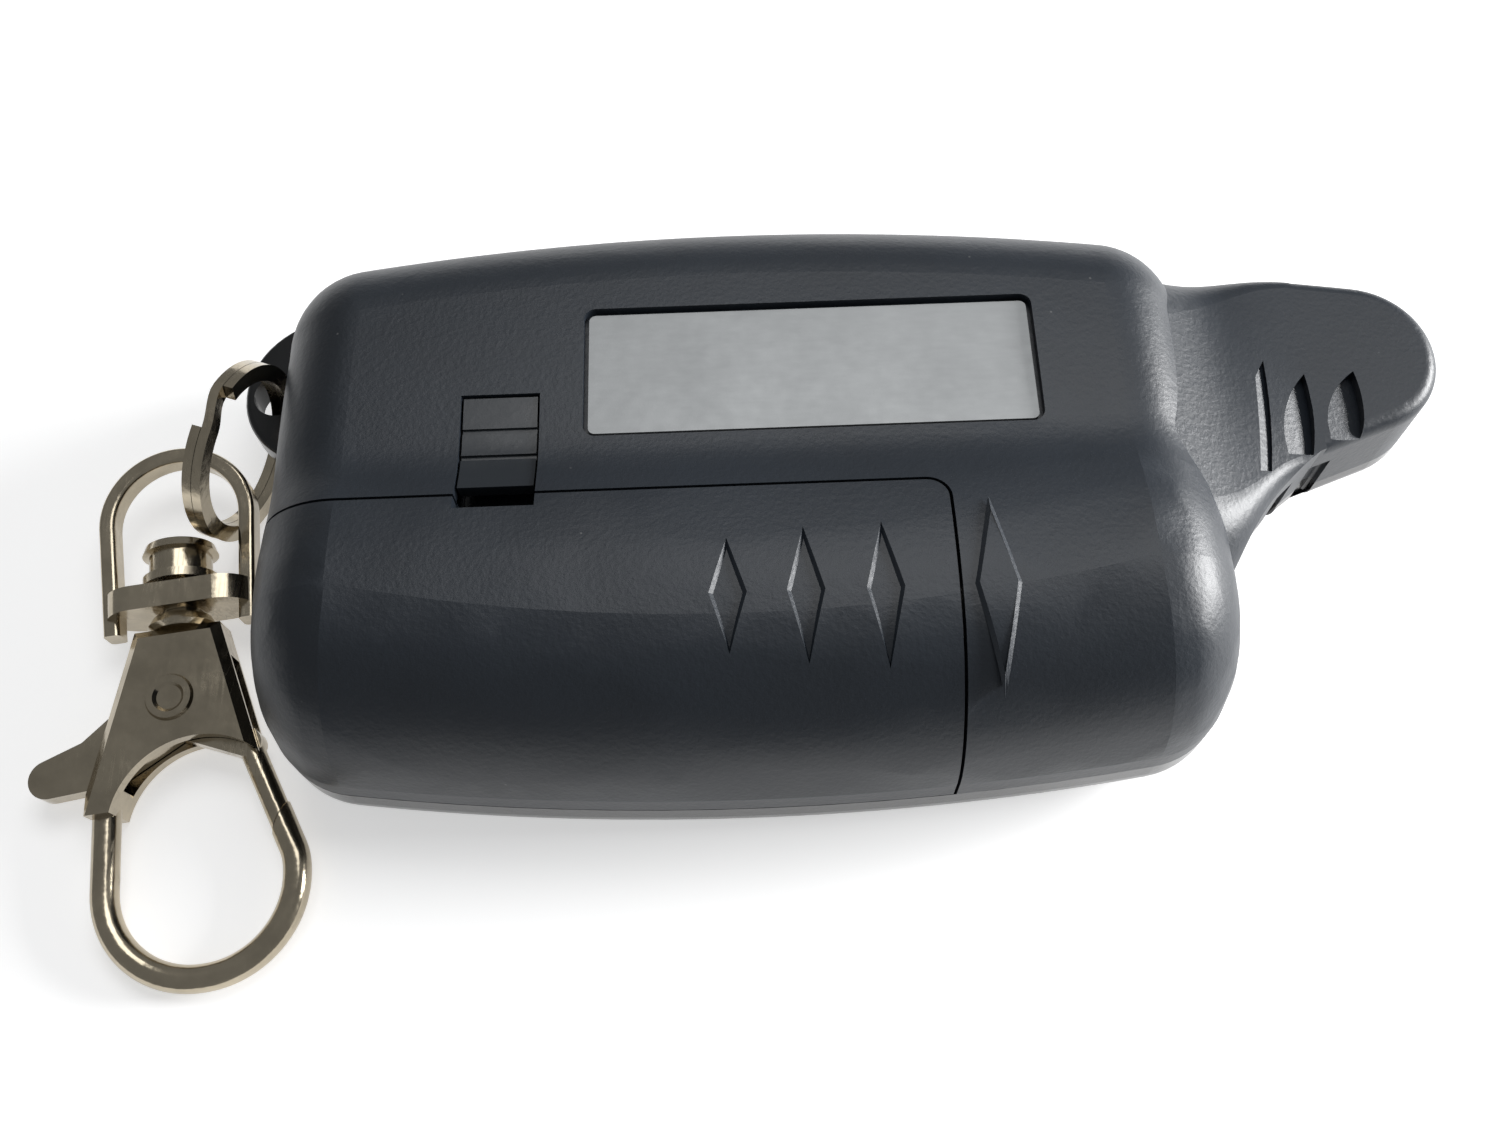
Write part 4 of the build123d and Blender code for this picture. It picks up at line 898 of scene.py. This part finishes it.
class REMOTE_OT_stage(bpy.types.Operator):
    """Pale floor, soft lamps and the camera"""

    bl_idname = "remote.stage"
    bl_label = "Studio"

    def execute(self, context):
        scene = context.scene
        settings = scene.remote_stage
        self.make_floor(scene, settings)
        self.make_room(scene, settings)
        self.add_lamp(scene, "overhead_lamp", OVERHEAD_PLACE, settings.key_power, *OVERHEAD_SIZE)
        self.add_lamp(scene, "side_lamp", SIDE_PLACE, settings.side_power, *SIDE_SIZE)
        self.add_camera(scene, settings)
        scene.view_settings.view_transform = "Standard"
        return {"FINISHED"}

    def make_floor(self, scene, settings):
        bm = bmesh.new()
        bmesh.ops.create_grid(bm, x_segments=8, y_segments=8, size=FLOOR_HALF)
        mesh = bpy.data.meshes.new("floor")
        bm.to_mesh(mesh)
        bm.free()
        floor = bpy.data.objects.new("floor", mesh)
        scene.collection.objects.link(floor)
        low = min(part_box(name)[0].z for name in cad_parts)
        for vertex in mesh.vertices:
            vertex.co.z = low - FLOOR_GAP
        material = bpy.data.materials.new("floor_paper")
        material.use_nodes = True
        tree = material.node_tree
        tree.nodes.clear()
        paper = tree.nodes.new("ShaderNodeBsdfDiffuse")
        tone = use_group(
            tree, "colour_drift", Colour=four(settings.floor_colour),
            Second_Colour=shade(settings.floor_colour, 0.985), Scale=9.0,
        )["Colour"]
        link(tree, tone, paper.inputs["Color"])
        glow = tree.nodes.new("ShaderNodeEmission")
        rays = tree.nodes.new("ShaderNodeLightPath")
        seen = calculate(tree, "ADD", rays.outputs["Is Camera Ray"], rays.outputs["Is Glossy Ray"], True)
        seen = calculate(tree, "ADD", seen, rays.outputs["Is Transmission Ray"], True)
        link(tree, calculate(tree, "MULTIPLY", seen, settings.floor_glow), glow.inputs["Strength"])
        both = tree.nodes.new("ShaderNodeAddShader")
        link(tree, paper.outputs[0], both.inputs[0])
        link(tree, glow.outputs[0], both.inputs[1])
        output = tree.nodes.new("ShaderNodeOutputMaterial")
        link(tree, both.outputs[0], output.inputs["Surface"])
        mesh.materials.append(material)

    def make_room(self, scene, settings):
        world = bpy.data.worlds.new("room")
        scene.world = world
        world.use_nodes = True
        background = world.node_tree.nodes["Background"]
        background.inputs["Color"].default_value = (0.97, 0.985, 1.0, 1)
        background.inputs["Strength"].default_value = settings.sky_strength

    def add_lamp(self, scene, name, place, power, length, width):
        data = bpy.data.lights.new(name, "AREA")
        data.shape = "RECTANGLE"
        data.size = length
        data.size_y = width
        data.energy = power
        lamp = bpy.data.objects.new(name, data)
        lamp.location = place
        lamp.rotation_euler = (-Vector(place)).to_track_quat("-Z", "Y").to_euler()
        scene.collection.objects.link(lamp)

    def add_camera(self, scene, settings):
        data = bpy.data.cameras.new("camera")
        data.sensor_width = 36.0
        data.lens = settings.camera_lens
        data.clip_start = 0.005
        data.clip_end = 20.0
        camera = bpy.data.objects.new("camera", data)
        turn = Matrix.Rotation(settings.camera_tilt, 4, "X") @ Matrix.Rotation(settings.camera_roll, 4, "Z")
        camera.matrix_world = Matrix.Translation(settings.camera_place) @ turn
        scene.collection.objects.link(camera)
        scene.camera = camera


class REMOTE_PT_panel(bpy.types.Panel):
    """Lists the remote's settings and pieces"""

    bl_label = "Car Alarm Remote"
    bl_idname = "REMOTE_PT_panel"
    bl_space_type = "VIEW_3D"
    bl_region_type = "UI"
    bl_category = "Remote"

    def draw(self, context):
        layout = self.layout
        for name in SETTINGS:
            box = layout.box()
            group = getattr(context.scene, name)
            for key in group.__annotations__:
                box.prop(group, key)
        for operator in OPERATORS:
            layout.operator(operator.bl_idname)


SETTINGS = {
    "remote_plastic": RemotePlasticSettings,
    "remote_metal": RemoteMetalSettings,
    "remote_front": RemoteFrontSettings,
    "remote_stage": RemoteStageSettings,
}
OPERATORS = (
    REMOTE_OT_case,
    REMOTE_OT_latch,
    REMOTE_OT_label,
    REMOTE_OT_window,
    REMOTE_OT_buttons,
    REMOTE_OT_board,
    REMOTE_OT_battery,
    REMOTE_OT_screws,
    REMOTE_OT_chain,
    REMOTE_OT_stage,
)


def register():
    for name, group in SETTINGS.items():
        bpy.utils.register_class(group)
        setattr(bpy.types.Scene, name, PointerProperty(type=group))
    for operator in OPERATORS:
        bpy.utils.register_class(operator)
    bpy.utils.register_class(REMOTE_PT_panel)


def unregister():
    bpy.utils.unregister_class(REMOTE_PT_panel)
    for operator in reversed(OPERATORS):
        bpy.utils.unregister_class(operator)
    for name, group in SETTINGS.items():
        delattr(bpy.types.Scene, name)
        bpy.utils.unregister_class(group)


def main():
    register()
    make_groups()
    bpy.ops.remote.case()
    bpy.ops.remote.latch()
    bpy.ops.remote.label()
    bpy.ops.remote.window()
    bpy.ops.remote.buttons()
    bpy.ops.remote.board()
    bpy.ops.remote.battery()
    bpy.ops.remote.screws()
    bpy.ops.remote.chain()
    bpy.ops.remote.stage()


if __name__ == "__main__":
    main()
